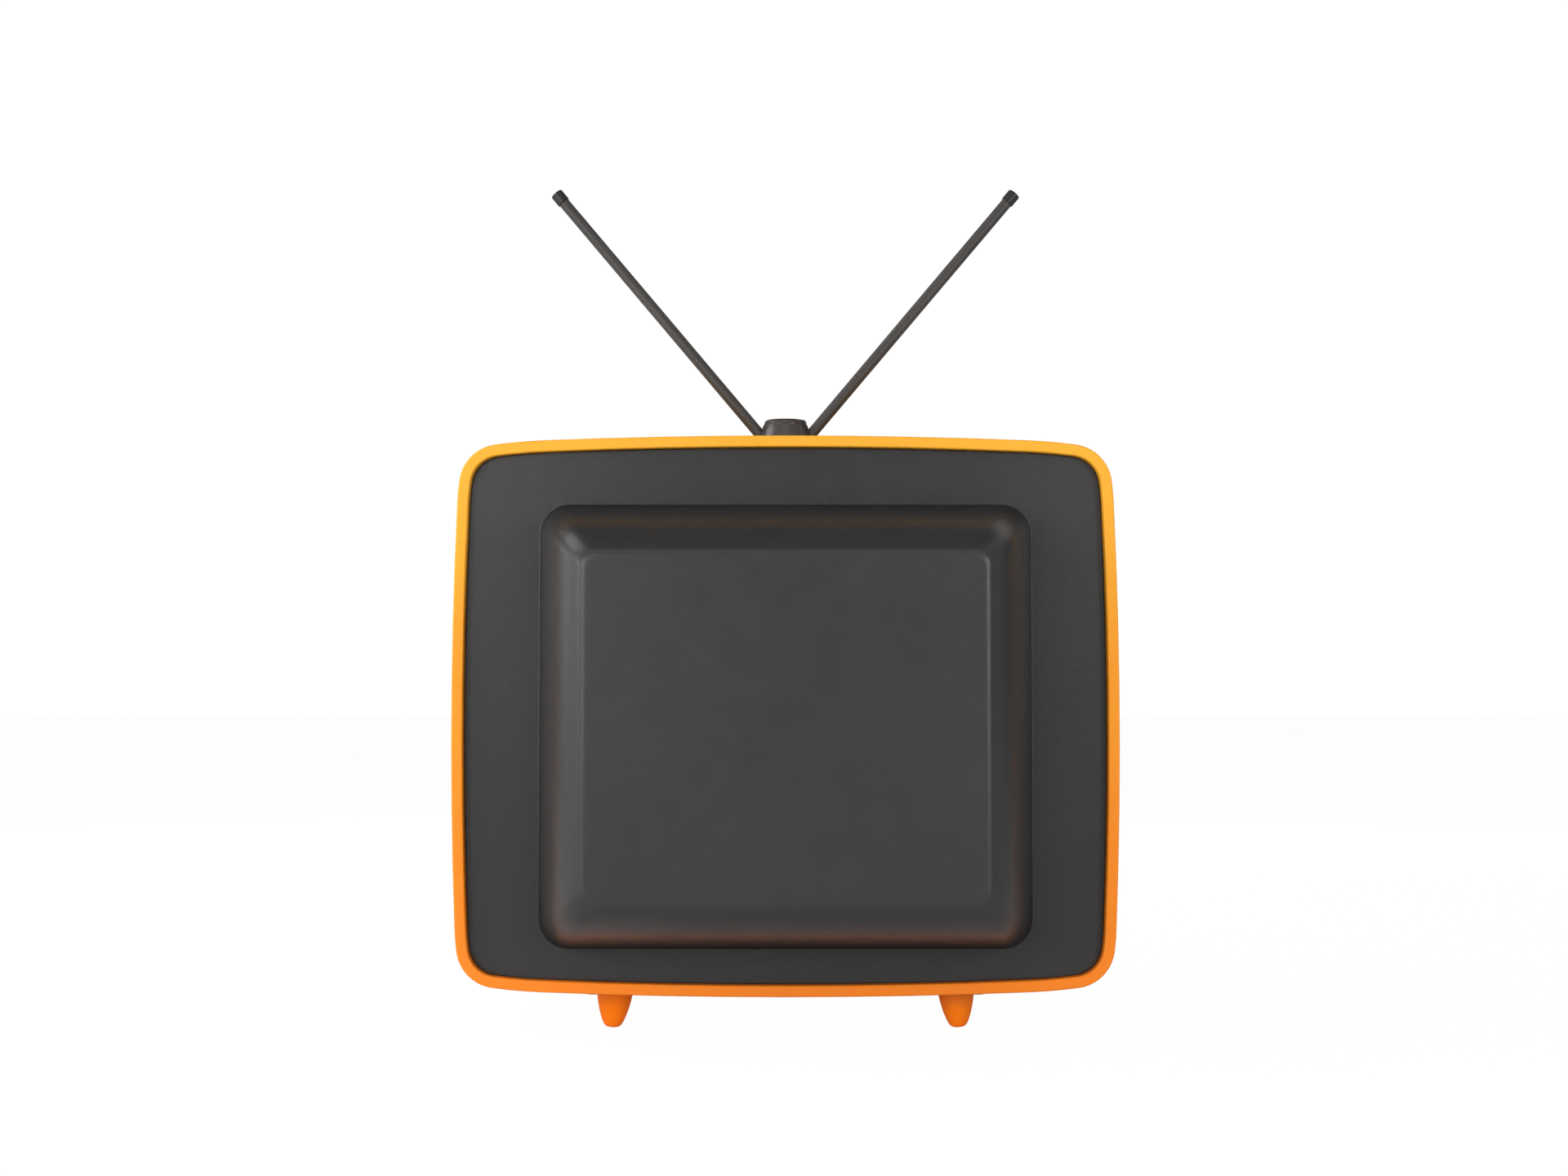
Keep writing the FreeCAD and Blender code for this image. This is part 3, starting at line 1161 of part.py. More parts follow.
# the base: a flared turned block, slotted on both sides for the rods
base_top = dim.cone_height - 0.1
base = Body("aerial_base_turned", 0, aerial_y, ROOF + 0.1)
base.revolve(polygon(base.sketch(), [
    (0, 0), (dim.cone_base - 0.3, 0), (dim.cone_base, 0.6), (18.7, 2.8), (17.4, 5.3),
    (16.3, 8.1), (15.4, 11.2), (14.6, 14.0), (14.1, 16.3), (13.5, 16.5), (13.5, 16.9),
    (dim.cone_top + 0.3, 17.1), (dim.cone_top, dim.cone_height - 0.9),
    (dim.cone_top - 0.8, base_top), (0, base_top)]))
pivot_z = ROOF + dim.pivot_up
PIN_RADIUS = 1.5
SLOT_LENGTH = 22
slot_inner = dim.pivot_x - 5.5
slots = [box(SLOT_LENGTH, dim.tube_outer * 2 + 0.6, 30, x, aerial_y - dim.tube_outer - 0.3,
             ROOF + 1.7) for x in (slot_inner, -slot_inner - SLOT_LENGTH)]
pin_holes = [cyl(PIN_RADIUS + FIT, 17, "y", side * dim.pivot_x, aerial_y - 8.5, pivot_z)
             for side in SIDES]
node(cut(base.obj, cyl(STUD_RADIUS + run_gap, 10, "z", 0, aerial_y, ROOF - 1),
         cyl(7.0, 1.95, "z", 0, aerial_y, ROOF + 4.1), *slots, *pin_holes), "aerial_base")
node(group(*[cyl(PIN_RADIUS, 16, "y", side * dim.pivot_x, aerial_y - 8, pivot_z)
             for side in SIDES]), "aerial_pivot_pins")


def make_rod(name, side):
    """Three nested sections, modelled upright on the pivot and then leaned out."""
    lean = Rotation(Vector(0, 1, 0), side * DIMS["aerial_tilt"])
    wall = dim.tube_wall
    end = dim.rod_end
    length = dim.rod_length
    cap = dim.cap_radius
    outer = dim.tube_outer
    middle = outer - (wall + dim.slide_gap)
    tip = outer - (wall + dim.slide_gap) * 2
    # half profiles: radius, height above the pivot
    profiles = (
        ("outer", [(0, -outer), (outer * 0.5, -outer * 0.866), (outer * 0.866, -outer * 0.5),
                   (outer, 0), (outer, end), (outer - wall, end), (outer - wall, 8), (0, 8)]),
        ("middle", [(0, 8.5), (middle, 8.5), (middle, end), (middle - wall, end),
                    (middle - wall, 11), (0, 11)]),
        ("tip", [(0, 11.5), (tip, 11.5), (tip, end + 0.1), (cap - 0.35, end + 0.1),
                 (cap, end + 0.5), (cap, length - 0.9), (cap - 0.5, length - 0.3),
                 (cap * 0.5, length), (0, length)]))
    for section, profile in profiles:
        label = "rod_%s_%s" % (name, section)
        part = Body(label + "_turned", side * dim.pivot_x, aerial_y, pivot_z, lean)
        part.revolve(polygon(part.sketch(), profile))
        if section == "outer":
            part.pocket(circles(part.sketch(offset=-6), PIN_RADIUS + run_gap), 12)
        node(part.obj, label)


make_rod("left", -1)
make_rod("right", 1)

# ---- wiring and fasteners --------------------------------------------------

# Each wire: label, radius, points of its path
WIRES = (
    ("anode_lead", 1.8, [
        (-43, -43.6, 267.4), (-41, -37, 275), (0, -10, 282), (66, -4, 235), (72, -34, 150),
        (80, -34, 96), (80, -24, 74), (80, -10.4, 71)]),
    ("mains_lead", 2.0, [
        (-166.5, 35, 60), (-162, 35, 60), (-140, 37, 60), (-112, 39, 60), (-102, 38, 60),
        (-98, 33.5, 60), (-98, 31, 60), (-98, 28.6, 60)]),
    ("speaker_lead", 1.1, [
        (104, -86, 70), (104, -82, 66), (102, -74, 58), (100, -70, 51), (100, -69.5, 46.2)]),
    ("aerial_lead", 1.6, [
        (0, -29.5, 322.6), (1, -29.6, 318), (12, -33, 315), (50, -48, 318), (96, -66, 322),
        (114, -73.5, 319), (119.6, -75, 313.5), (120, -75, 309.6)]),
    ("deflection_lead", 2.0, [
        (-43, 20, 140.8), (-43, 14, 120), (-38, -6, 80), (-38, -14, 55), (-38, -15, 47.2)]),
)


def make_wire(label, radius, points):
    """A wire bent in space: its path has no plane, so its shape is swept in code."""
    curve = Part.BSplineCurve()
    curve.interpolate([Vector(*point) for point in points])
    path = Part.Wire([curve.toShape()])
    start = curve.value(curve.FirstParameter)
    heading = curve.tangent(curve.FirstParameter)[0]
    ring_wire = Part.Wire([Part.makeCircle(radius, start, heading)])
    obj = doc.addObject("Part::Feature", label)
    obj.Shape = path.makePipeShell([ring_wire], True, False)
    return obj


node(group(*LARGE_SCREWS), "large_screws")
node(group(*SMALL_SCREWS), "small_screws")
node(group(*NUTS), "hex_nuts")
node(group(*[make_wire(*wire) for wire in WIRES]), "wiring")

# ---- check and write -------------------------------------------------------

doc.recompute()
faults = []
for obj in doc.Objects:
    if any(flag in ("Invalid", "Error") for flag in obj.State):
        faults.append("%s (%s): %s" % (obj.Name, obj.Label, ",".join(obj.State)))
for obj in doc.Objects:
    if obj.isDerivedFrom("Sketcher::SketchObject") and obj.solve() != 0:
        faults.append("%s does not solve" % obj.Name)
for obj in NODES:
    if obj.Shape.isNull() or not obj.Shape.isValid() or not obj.Shape.Solids:
        faults.append("%s has no valid solid" % obj.Label)
if len({obj.Label for obj in NODES}) != len(NODES):
    faults.append("a piece's name is used twice")
if faults:
    raise RuntimeError("\n".join(faults))

os.makedirs("parts", exist_ok=True)
for obj in NODES:
    obj.Shape.exportStep("parts/%s.step" % obj.Label)
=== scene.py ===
"""A small portable television: orange cabinet on four feet, dark rear cover, rod aerial.

It stands on the floor at z = 0. The screen and controls face -Y, the rear cover faces +Y, and
the controls are on the +X side. Lengths are in millimetres where meshes are built, and in
metres in the materials, lights and camera.
"""
import math

import bmesh
import bpy
import numpy as np
from mathutils import Matrix, Vector

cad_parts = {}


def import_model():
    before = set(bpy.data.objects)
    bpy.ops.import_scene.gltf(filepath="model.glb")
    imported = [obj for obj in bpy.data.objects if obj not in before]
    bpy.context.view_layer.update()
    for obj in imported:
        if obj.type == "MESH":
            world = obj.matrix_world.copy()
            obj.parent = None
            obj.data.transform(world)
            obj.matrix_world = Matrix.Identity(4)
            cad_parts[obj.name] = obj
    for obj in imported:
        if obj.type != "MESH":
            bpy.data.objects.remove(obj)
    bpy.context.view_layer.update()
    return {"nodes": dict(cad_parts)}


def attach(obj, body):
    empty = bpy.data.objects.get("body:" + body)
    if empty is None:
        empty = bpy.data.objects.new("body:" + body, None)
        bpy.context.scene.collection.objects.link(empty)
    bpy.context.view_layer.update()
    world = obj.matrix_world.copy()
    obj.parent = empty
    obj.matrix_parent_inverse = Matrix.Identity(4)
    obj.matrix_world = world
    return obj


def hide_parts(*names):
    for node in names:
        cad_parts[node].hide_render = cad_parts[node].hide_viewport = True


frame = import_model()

MM = 0.001
NODES = frame["nodes"]

# ---------------------------------------------------------------------------
# shared sizes, millimetres
# ---------------------------------------------------------------------------
CABINET_WIDTH, CABINET_HEIGHT = 380.0, 318.92
CABINET_UNDERSIDE = 21.5
MIDDLE_Z = CABINET_UNDERSIDE + CABINET_HEIGHT / 2
CABINET_TOP = MIDDLE_Z + CABINET_HEIGHT / 2

COVER_Y = 59.5        # rear face of the rear cover's flange
PLATE_Y = -121.0      # front face of the control plate


# ---------------------------------------------------------------------------
# node helpers
# ---------------------------------------------------------------------------
def put(socket, value):
    """Link an output to the socket, or set its value. None leaves it alone."""
    if value is None:
        return
    if hasattr(value, "is_linked"):
        socket.id_data.links.new(value, socket)
    elif socket.type == "RGBA" and len(value) == 3:
        socket.default_value = (*value, 1.0)
    else:
        socket.default_value = value


def add_node(tree, kind, **settings):
    """A new node. Lower-case settings are properties, capitalised ones are inputs."""
    made = tree.nodes.new(kind)
    for name, value in settings.items():
        if name[0].isupper():
            put(made.inputs[name.replace("_", " ")], value)
        else:
            setattr(made, name, value)
    return made


MATERIALS = {}


class Shader:
    """A Principled material, kept in MATERIALS. Textures use object coordinates, in metres."""

    def __init__(self, name):
        material = bpy.data.materials.new(name)
        material.use_nodes = True
        self.tree = material.node_tree
        self.tree.nodes.clear()
        output = self.node("OutputMaterial")
        self.principled = self.node("BsdfPrincipled")
        put(output.inputs[0], self.principled.outputs[0])
        self.place = self.node("TexCoord").outputs["Object"]
        MATERIALS[name] = material

    def node(self, kind, **settings):
        return add_node(self.tree, "ShaderNode" + kind, **settings)

    def surface(self, **inputs):
        for name, value in inputs.items():
            put(self.principled.inputs[name.replace("_", " ")], value)

    def stretch(self, scale, turn=(0, 0, 0)):
        return self.node("Mapping", Scale=scale, Rotation=turn, Vector=self.place).outputs[0]

    def noise(self, scale, detail=3.0, rough=0.55, distort=0.0, vector=None):
        return self.node("TexNoise", Scale=scale, Detail=detail, Roughness=rough,
                         Distortion=distort, Vector=vector or self.place).outputs[0]

    def cells(self, scale, feature="F1", vector=None, **inputs):
        return self.node("TexVoronoi", feature=feature, Scale=scale,
                         Vector=vector or self.place, **inputs).outputs["Distance"]

    def bands(self, scale, distort):
        """Bands that follow each other along Y."""
        return self.node("TexWave", bands_direction="Y", Scale=scale, Distortion=distort,
                         Detail=2.0, Vector=self.place).outputs["Fac"]

    def remap(self, value, source=(0.3, 0.7), to=(0.0, 1.0), clamp=True):
        return self.node("MapRange", clamp=clamp, Value=value, From_Min=source[0],
                         From_Max=source[1], To_Min=to[0], To_Max=to[1]).outputs[0]

    def math(self, operation, a, b=0.0):
        made = self.node("Math", operation=operation)
        put(made.inputs[0], a)
        put(made.inputs[1], b)
        return made.outputs[0]

    def mix(self, factor, start, end):
        """The start colour where the factor is 0, the end colour where it is 1."""
        made = self.node("Mix", data_type="RGBA", Factor=factor)
        put(made.inputs[6], start)
        put(made.inputs[7], end)
        return made.outputs[2]

    def vary(self, value, colour, amount):
        """The colour made darker and lighter by an amount, following the value."""
        return self.mix(self.remap(value), scaled(colour, 1 - amount), scaled(colour, 1 + amount))

    def bump(self, height, strength, distance, normal=None):
        return self.node("Bump", Strength=strength, Distance=distance, Height=height,
                         Normal=normal).outputs[0]

    def bevel(self, radius):
        return self.node("Bevel", samples=4, Radius=radius).outputs[0]

    def edge_mask(self, bevel):
        """1 on an outside or inside edge, 0 on a flat."""
        true_normal = self.node("NewGeometry").outputs["Normal"]
        dot = self.node("VectorMath", operation="DOT_PRODUCT")
        put(dot.inputs[0], bevel)
        put(dot.inputs[1], true_normal)
        return self.remap(dot.outputs["Value"], source=(0.995, 0.90))

    def axis(self, letter):
        return self.node("SeparateXYZ", Vector=self.place).outputs[letter]


def scaled(colour, factor):
    return tuple(min(1.0, channel * factor) for channel in colour)


# ---------------------------------------------------------------------------
# materials that several pieces share
# ---------------------------------------------------------------------------
def plain(name, colour, rough, metallic=0.0, spec=0.5, var=0.10, patch=35, grain=900,
          grain_depth=0.00002, coat=0.0, edge=0.0, wear=0.0, wear_colour=None, speck=0.0):
    """A moulded, painted or plated finish: patchy colour, fine grain and rubbed edges.

    var, speck and wear are strengths, patch and grain are noise scales, edge is a bevel radius.
    """
    m = Shader(name)
    colours = m.vary(m.noise(scale=patch, detail=4, rough=0.6), colour, var)
    fine = m.noise(scale=grain, detail=2, rough=0.5)
    if speck:
        dots = m.remap(m.cells(scale=grain * 0.7), source=(0, 0.28), to=(1, 0))
        colours = m.mix(m.math("MULTIPLY", dots, speck), colours, scaled(colour, 1.9))
    bevel = None
    if edge:
        bevel = m.bevel(edge)
        mask = m.edge_mask(bevel)
        patchy = m.remap(m.noise(scale=260, detail=4, rough=0.6), source=(0.42, 0.62))
        worn = m.math("MULTIPLY", m.math("MULTIPLY", mask, patchy), wear)
        colours = m.mix(worn, colours, wear_colour or scaled(colour, 1.7))
    clouds = m.noise(scale=patch * 3, detail=5, rough=0.65)
    m.surface(Base_Color=colours, Metallic=metallic, Specular_IOR_Level=spec,
              Roughness=m.remap(clouds, source=(0.25, 0.75), to=(rough - 0.07, rough + 0.07)),
              Normal=m.bump(fine, strength=0.6, distance=grain_depth, normal=bevel))
    if coat:
        m.surface(Coat_Weight=coat, Coat_Roughness=0.08)


TURNED = (1400, 120, 1400)    # noise stretch of turned metal


def brushed(name, colour, rough, stretch=TURNED, var=0.06):
    """Metal with fine parallel lines, long on the axis where the stretch is small."""
    m = Shader(name)
    lines = m.noise(scale=1, detail=3, rough=0.6, vector=m.stretch(stretch))
    coarse = m.noise(scale=40)
    colours = m.vary(lines, colour, var)
    colours = m.mix(m.remap(coarse, source=(0.35, 0.75), to=(0, 0.25)), colours,
                    scaled(colour, 0.82))
    m.surface(Base_Color=colours, Metallic=1.0,
              Roughness=m.remap(lines, source=(0.25, 0.75), to=(rough - 0.08, rough + 0.10)),
              Normal=m.bump(lines, strength=0.35, distance=0.000012, normal=m.bevel(0.0002)))


# height in metres, colour at that height; lighter and yellower higher up, darker and redder low
# down: painted light from above
ORANGE = (
    (0.004, (0.97, 0.222, 0.0005)),
    (0.016, (0.97, 0.230, 0.0020)),
    (0.024, (0.96, 0.238, 0.0150)),
    (0.100, (0.95, 0.262, 0.0120)),
    (0.193, (0.94, 0.322, 0.0160)),
    (0.285, (0.93, 0.408, 0.0260)),
    (0.345, (0.93, 0.430, 0.0320)),
)
ORANGE_TOP = 0.35     # height at the end of the colour ramp


def orange(name, rough=0.44, spec=0.22, gain=1.0):
    """Orange moulded plastic with a faint orange peel, its colour painted lighter and yellower
    above and darker and redder below as light from above.
    """
    m = Shader(name)
    z = m.axis("Z")
    swirl = m.noise(scale=9, detail=3, rough=0.5, distort=0.6)
    height = m.math("ADD", z, m.remap(swirl, to=(-0.008, 0.008), clamp=False))
    # painted light: the colour ramp by height stands in for light falling from above
    ramp = m.node("ValToRGB")
    ramp.color_ramp.interpolation = "EASE"
    put(ramp.inputs[0], m.remap(height, source=(0, ORANGE_TOP)))
    stops = ramp.color_ramp.elements
    while len(stops) < len(ORANGE):
        stops.new(0.5)
    for stop, (level, colour) in zip(stops, ORANGE):
        stop.position = level / ORANGE_TOP
        stop.color = (*(channel * gain for channel in colour), 1.0)
    fleck = m.noise(scale=55, detail=5, rough=0.6)
    colours = m.mix(m.remap(fleck, source=(0.45, 0.8), to=(0, 0.08)), ramp.outputs[0],
                    (0.80, 0.20, 0.006))
    bevel = m.bevel(0.0004)
    patchy = m.remap(m.noise(scale=180, detail=4, rough=0.6), source=(0.45, 0.7), to=(0, 0.22))
    rubbed = m.math("MULTIPLY", m.edge_mask(bevel), patchy)
    colours = m.mix(rubbed, colours, (0.95, 0.46, 0.12))
    peel = m.noise(scale=420, detail=2, rough=0.5)
    fine = m.noise(scale=2600, detail=2, rough=0.5)
    normal = m.bump(peel, strength=0.35, distance=0.000014, normal=bevel)
    normal = m.bump(fine, strength=0.25, distance=0.000010, normal=normal)
    clouds = m.noise(scale=70, detail=4, rough=0.6)
    m.surface(Base_Color=colours, Specular_IOR_Level=spec, Normal=normal,
              Roughness=m.remap(clouds, to=(rough - 0.05, rough + 0.06)))


def grained(name, rough=0.33, wear=0.0, painted_corner_shade=0.0):
    """Dark plastic with a pebbled, creased grain.

    The last argument is the strength of painted shade where the housing rises from the flange; it
    darkens the colour and the reflection there, like shadow in that corner.
    """
    colour, spec = (0.0305, 0.0303, 0.0303), 0.36
    m = Shader(name)
    # a slight warp keeps the cells from looking regular
    warp = m.node("Mix", data_type="VECTOR", Factor=0.0009)
    bend = m.node("TexNoise", Scale=500, Vector=m.place)
    put(warp.inputs[4], m.place)
    put(warp.inputs[5], bend.outputs["Color"])
    warped = warp.outputs[1]
    pebble = m.cells(scale=720, feature="SMOOTH_F1", vector=warped, Smoothness=0.35)
    creases = m.cells(scale=720, feature="DISTANCE_TO_EDGE", vector=warped)
    fine = m.noise(scale=2400, detail=2, rough=0.5)
    grain = m.math("ADD", m.remap(creases, source=(0, 0.22)), m.math("MULTIPLY", fine, 0.22))
    grain = m.math("SUBTRACT", grain, m.math("MULTIPLY", pebble, 0.45))
    folds = m.noise(scale=1, detail=4, rough=0.6, distort=0.35,
                    vector=m.stretch((150, 150, 300)))
    colours = m.vary(m.noise(scale=16, detail=4), colour, 0.04)
    # painted shade: the colour is darker along the grain's creases
    colours = m.mix(m.remap(creases, source=(0, 0.10), to=(0.22, 0)), colours,
                    scaled(colour, 0.72))
    if painted_corner_shade:
        # painted shade, darkening colour and reflection: starts just behind the flange, fades up
        # the housing, and is strongest low down
        y = m.axis("Y")
        beyond_flange = m.remap(y, source=(0.0597, 0.0602))
        fade = m.math("MULTIPLY", m.remap(y, source=(0.0602, 0.1150), to=(painted_corner_shade, 0)),
                      m.remap(m.axis("Z"), source=(0.060, 0.085), to=(2, 1)))
        fade = m.math("MINIMUM", fade, 0.62)
        shade = m.math("SUBTRACT", 1.0, m.math("MULTIPLY", beyond_flange, fade))
        colours = m.mix(shade, (0.0, 0.0, 0.0), colours)
        spec = m.math("MULTIPLY", shade, spec)
    bevel = m.bevel(0.00015)
    if wear:
        patchy = m.noise(scale=150, detail=4, rough=0.6)
        worn = m.math("MULTIPLY", m.edge_mask(bevel),
                      m.remap(patchy, source=(0.40, 0.70), to=(0, wear)))
        colours = m.mix(worn, colours, scaled(colour, 1.9))
    normal = m.bump(grain, strength=0.5, distance=0.00003, normal=bevel)
    normal = m.bump(folds, strength=0.5, distance=0.00010, normal=normal)
    clouds = m.noise(scale=60, detail=4, rough=0.6)
    m.surface(Base_Color=colours, Specular_IOR_Level=spec, Normal=normal,
              Roughness=m.remap(clouds, to=(rough - 0.04, rough + 0.05)))


def rod_metal(name, colour):
    """Dark plated tube, softly clouded, with faint drawing lines along both leaning rods."""
    lean = math.radians(40.1)
    pivot_z = 0.346
    across_scale, along_scale = 620.0, 7.0
    m = Shader(name)
    x = m.math("ABSOLUTE", m.axis("X"))
    y = m.axis("Y")
    z = m.math("SUBTRACT", m.axis("Z"), pivot_z)
    across = m.math("SUBTRACT", m.math("MULTIPLY", x, math.cos(lean) * across_scale),
                    m.math("MULTIPLY", z, math.sin(lean) * across_scale))
    along = m.math("ADD", m.math("MULTIPLY", x, math.sin(lean) * along_scale),
                   m.math("MULTIPLY", z, math.cos(lean) * along_scale))
    place = m.node("CombineXYZ", X=across, Y=m.math("MULTIPLY", y, across_scale), Z=along)
    lines = m.noise(scale=1, detail=2, rough=0.6, vector=place.outputs[0])
    blot = m.noise(scale=60, detail=4)
    warmer = tuple(c * gain for c, gain in zip(colour, (1.06, 1.03, 1.01)))
    colours = m.mix(m.remap(blot), scaled(colour, 0.96), warmer)
    colours = m.mix(m.remap(lines, source=(0.36, 0.62), to=(0.85, 0)), colours,
                    scaled(colour, 0.55))
    m.surface(Base_Color=colours, Metallic=0.0, Specular_IOR_Level=0.34,
              Roughness=m.remap(lines, to=(0.44, 0.34)),
              Normal=m.bump(lines, strength=0.15, distance=0.00002))


# ---------------------------------------------------------------------------
# materials of single pieces
# ---------------------------------------------------------------------------
def screen_glass():
    """Grey glass with smears and dust."""
    m = Shader("screen_glass")
    haze = m.noise(scale=22, detail=4, rough=0.6)
    smear = m.noise(scale=1, detail=3, rough=0.6, distort=0.4,
                    vector=m.stretch((18, 18, 90), turn=(0, 0.5, 0)))
    dust = m.remap(m.cells(scale=420), source=(0, 0.10), to=(1, 0))
    m.surface(Base_Color=m.mix(m.remap(haze), (0.40, 0.43, 0.42), (0.44, 0.47, 0.46)),
              Transmission_Weight=1.0, IOR=1.52,
              Roughness=m.math("ADD", m.remap(smear, source=(0.45, 0.75), to=(0, 0.035)),
                               m.math("MULTIPLY", dust, 0.05)))


def phosphor():
    """Dull grey-green powder."""
    m = Shader("phosphor")
    fine = m.noise(scale=5200, detail=2, rough=0.5)
    soft = m.noise(scale=18, detail=3, rough=0.5)
    colours = m.mix(m.remap(soft), (0.20, 0.22, 0.205), (0.23, 0.25, 0.235))
    colours = m.mix(m.remap(fine, source=(0.35, 0.65), to=(0, 0.35)), colours,
                    (0.15, 0.17, 0.16))
    m.surface(Base_Color=colours, Roughness=0.75, Specular_IOR_Level=0.2,
              Normal=m.bump(fine, strength=0.4, distance=0.00001))


def copper_wire():
    """Lacquered copper in close turns, with painted highlight on each turn and painted shade
    between turns.
    """
    m = Shader("copper_wire")
    turns = m.bands(scale=420, distort=1.2)
    strands = m.noise(scale=1, detail=2, rough=0.5, vector=m.stretch((400, 2600, 400)))
    # painted highlight and shade: the colour runs from dark between turns to bright on them
    colours = m.mix(turns, (0.30, 0.085, 0.028), (0.66, 0.27, 0.11))
    colours = m.mix(m.remap(strands, source=(0.4, 0.7), to=(0, 0.6)), colours,
                    (0.20, 0.05, 0.02))
    height = m.math("ADD", turns, m.math("MULTIPLY", strands, 0.5))
    m.surface(Base_Color=colours, Metallic=0.75, Coat_Weight=0.4,
              Roughness=m.remap(turns, source=(0, 1), to=(0.46, 0.28)),
              Normal=m.bump(height, strength=0.8, distance=0.0002))


def board():
    """Brown fibre board with darker tracks."""
    m = Shader("board")
    fibre = m.noise(scale=1, detail=4, rough=0.6, distort=0.2,
                    vector=m.stretch((300, 2200, 300)))
    patch = m.noise(scale=20, detail=3, rough=0.5)
    colours = m.mix(m.remap(patch), (0.30, 0.155, 0.055), (0.42, 0.235, 0.095))
    colours = m.mix(m.remap(fibre, source=(0.4, 0.7), to=(0, 0.5)), colours,
                    (0.22, 0.11, 0.04))
    tracks = m.cells(scale=95, feature="DISTANCE_TO_EDGE", Randomness=0.55)
    colours = m.mix(m.remap(tracks, source=(0.05, 0.07), to=(0.35, 0)), colours,
                    (0.14, 0.07, 0.02))
    m.surface(Base_Color=colours, Roughness=m.remap(patch, to=(0.42, 0.55)),
              Normal=m.bump(fibre, strength=0.5, distance=0.00004))


def transformer_iron():
    """Stacked iron sheets with spots of rust."""
    m = Shader("transformer_iron")
    sheets = m.bands(scale=330, distort=0.15)
    rust = m.noise(scale=70, detail=5, rough=0.65)
    colours = m.mix(sheets, (0.055, 0.052, 0.050), (0.16, 0.155, 0.15))
    colours = m.mix(m.remap(rust, source=(0.58, 0.75), to=(0, 0.7)), colours,
                    (0.16, 0.065, 0.03))
    m.surface(Base_Color=colours, Metallic=0.55, Roughness=m.remap(rust, to=(0.38, 0.62)),
              Normal=m.bump(sheets, strength=0.7, distance=0.00012))


def capacitor_can():
    """Blue shrunk-on sleeve."""
    m = Shader("capacitor_can")
    shrink = m.noise(scale=320, detail=3, rough=0.6)
    blot = m.noise(scale=30, detail=3, rough=0.5)
    colours = m.mix(m.remap(blot), (0.035, 0.060, 0.16), (0.055, 0.088, 0.22))
    colours = m.mix(m.remap(shrink, source=(0.5, 0.8), to=(0, 0.4)), colours,
                    (0.10, 0.14, 0.27))
    m.surface(Base_Color=colours, Roughness=m.remap(blot, to=(0.28, 0.40)), Coat_Weight=0.25,
              Normal=m.bump(shrink, strength=0.4, distance=0.00005, normal=m.bevel(0.0004)))


def cone_paper():
    """Dark fibrous paper."""
    m = Shader("cone_paper")
    fibre = m.noise(scale=900, detail=6, rough=0.75, distort=1)
    blot = m.noise(scale=80, detail=4, rough=0.6)
    colours = m.mix(m.remap(blot), (0.050, 0.044, 0.040), (0.085, 0.076, 0.068))
    colours = m.mix(m.remap(fibre, source=(0.5, 0.75), to=(0, 0.6)), colours,
                    (0.13, 0.115, 0.10))
    m.surface(Base_Color=colours, Roughness=0.9, Specular_IOR_Level=0.2,
              Normal=m.bump(fibre, strength=0.9, distance=0.00012))


orange("orange_plastic")
# the rear cover's grained plastic carries painted shade where its housing rises from the flange
grained("grained_plastic", painted_corner_shade=0.55)
grained("bezel_plastic", rough=0.44, wear=0.35)
brushed("brushed_plate", colour=(0.62, 0.62, 0.605), rough=0.32, stretch=(9, 900, 2600),
        var=0.035)
plain("grille_metal", colour=(0.020, 0.020, 0.021), rough=0.38, var=0.15, patch=60,
      grain=1500, edge=0.0003, wear=0.7, wear_colour=(0.20, 0.19, 0.18))
plain("surround_plastic", colour=(0.018, 0.018, 0.019), rough=0.24, var=0.12, grain=1300,
      edge=0.0006, wear=0.08, wear_colour=(0.05, 0.05, 0.05))
screen_glass()
phosphor()
plain("funnel_glass", colour=(0.020, 0.020, 0.021), rough=0.62, var=0.25, patch=22,
      grain=700, grain_depth=0.00006, speck=0.15)
brushed("gun_metal", colour=(0.50, 0.49, 0.46), rough=0.25)
plain("plated_steel", colour=(0.52, 0.51, 0.46), rough=0.34, metallic=1.0, var=0.12,
      patch=120, grain=800, edge=0.0003, wear=0.6, wear_colour=(0.80, 0.79, 0.75))
copper_wire()
plain("ferrite", colour=(0.045, 0.044, 0.046), rough=0.48, metallic=0.2, var=0.2, patch=50,
      grain=1600, grain_depth=0.00005, edge=0.0005, wear=0.5, speck=0.35)
plain("black_plastic", colour=(0.020, 0.020, 0.021), rough=0.46, var=0.15, patch=40,
      grain=1000, grain_depth=0.00004, edge=0.0004, wear=0.5, wear_colour=(0.08, 0.08, 0.08))
board()
plain("lead_rubber", colour=(0.045, 0.012, 0.010), rough=0.55, var=0.2, patch=70,
      grain=1100, grain_depth=0.00004)
transformer_iron()
brushed("heat_sink_aluminium", colour=(0.060, 0.060, 0.066), rough=0.42,
        stretch=(1200, 1200, 25))
capacitor_can()
plain("component_body", colour=(0.40, 0.20, 0.10), rough=0.42, var=0.35, patch=110,
      grain=1600, grain_depth=0.00004, edge=0.0003, wear=0.5, speck=0.3)
brushed("spindle_steel", colour=(0.54, 0.53, 0.50), rough=0.24)
plain("knob_plastic", colour=(0.016, 0.016, 0.017), rough=0.22, var=0.12, patch=80,
      grain=1800, grain_depth=0.00001, edge=0.0004, wear=0.4, wear_colour=(0.09, 0.09, 0.09),
      coat=0.2)
brushed("knob_ring", colour=(0.58, 0.575, 0.56), rough=0.26)
orange("button_plastic", rough=0.26, spec=0.5, gain=0.95)
cone_paper()
brushed("socket_metal", colour=(0.62, 0.61, 0.59), rough=0.16)
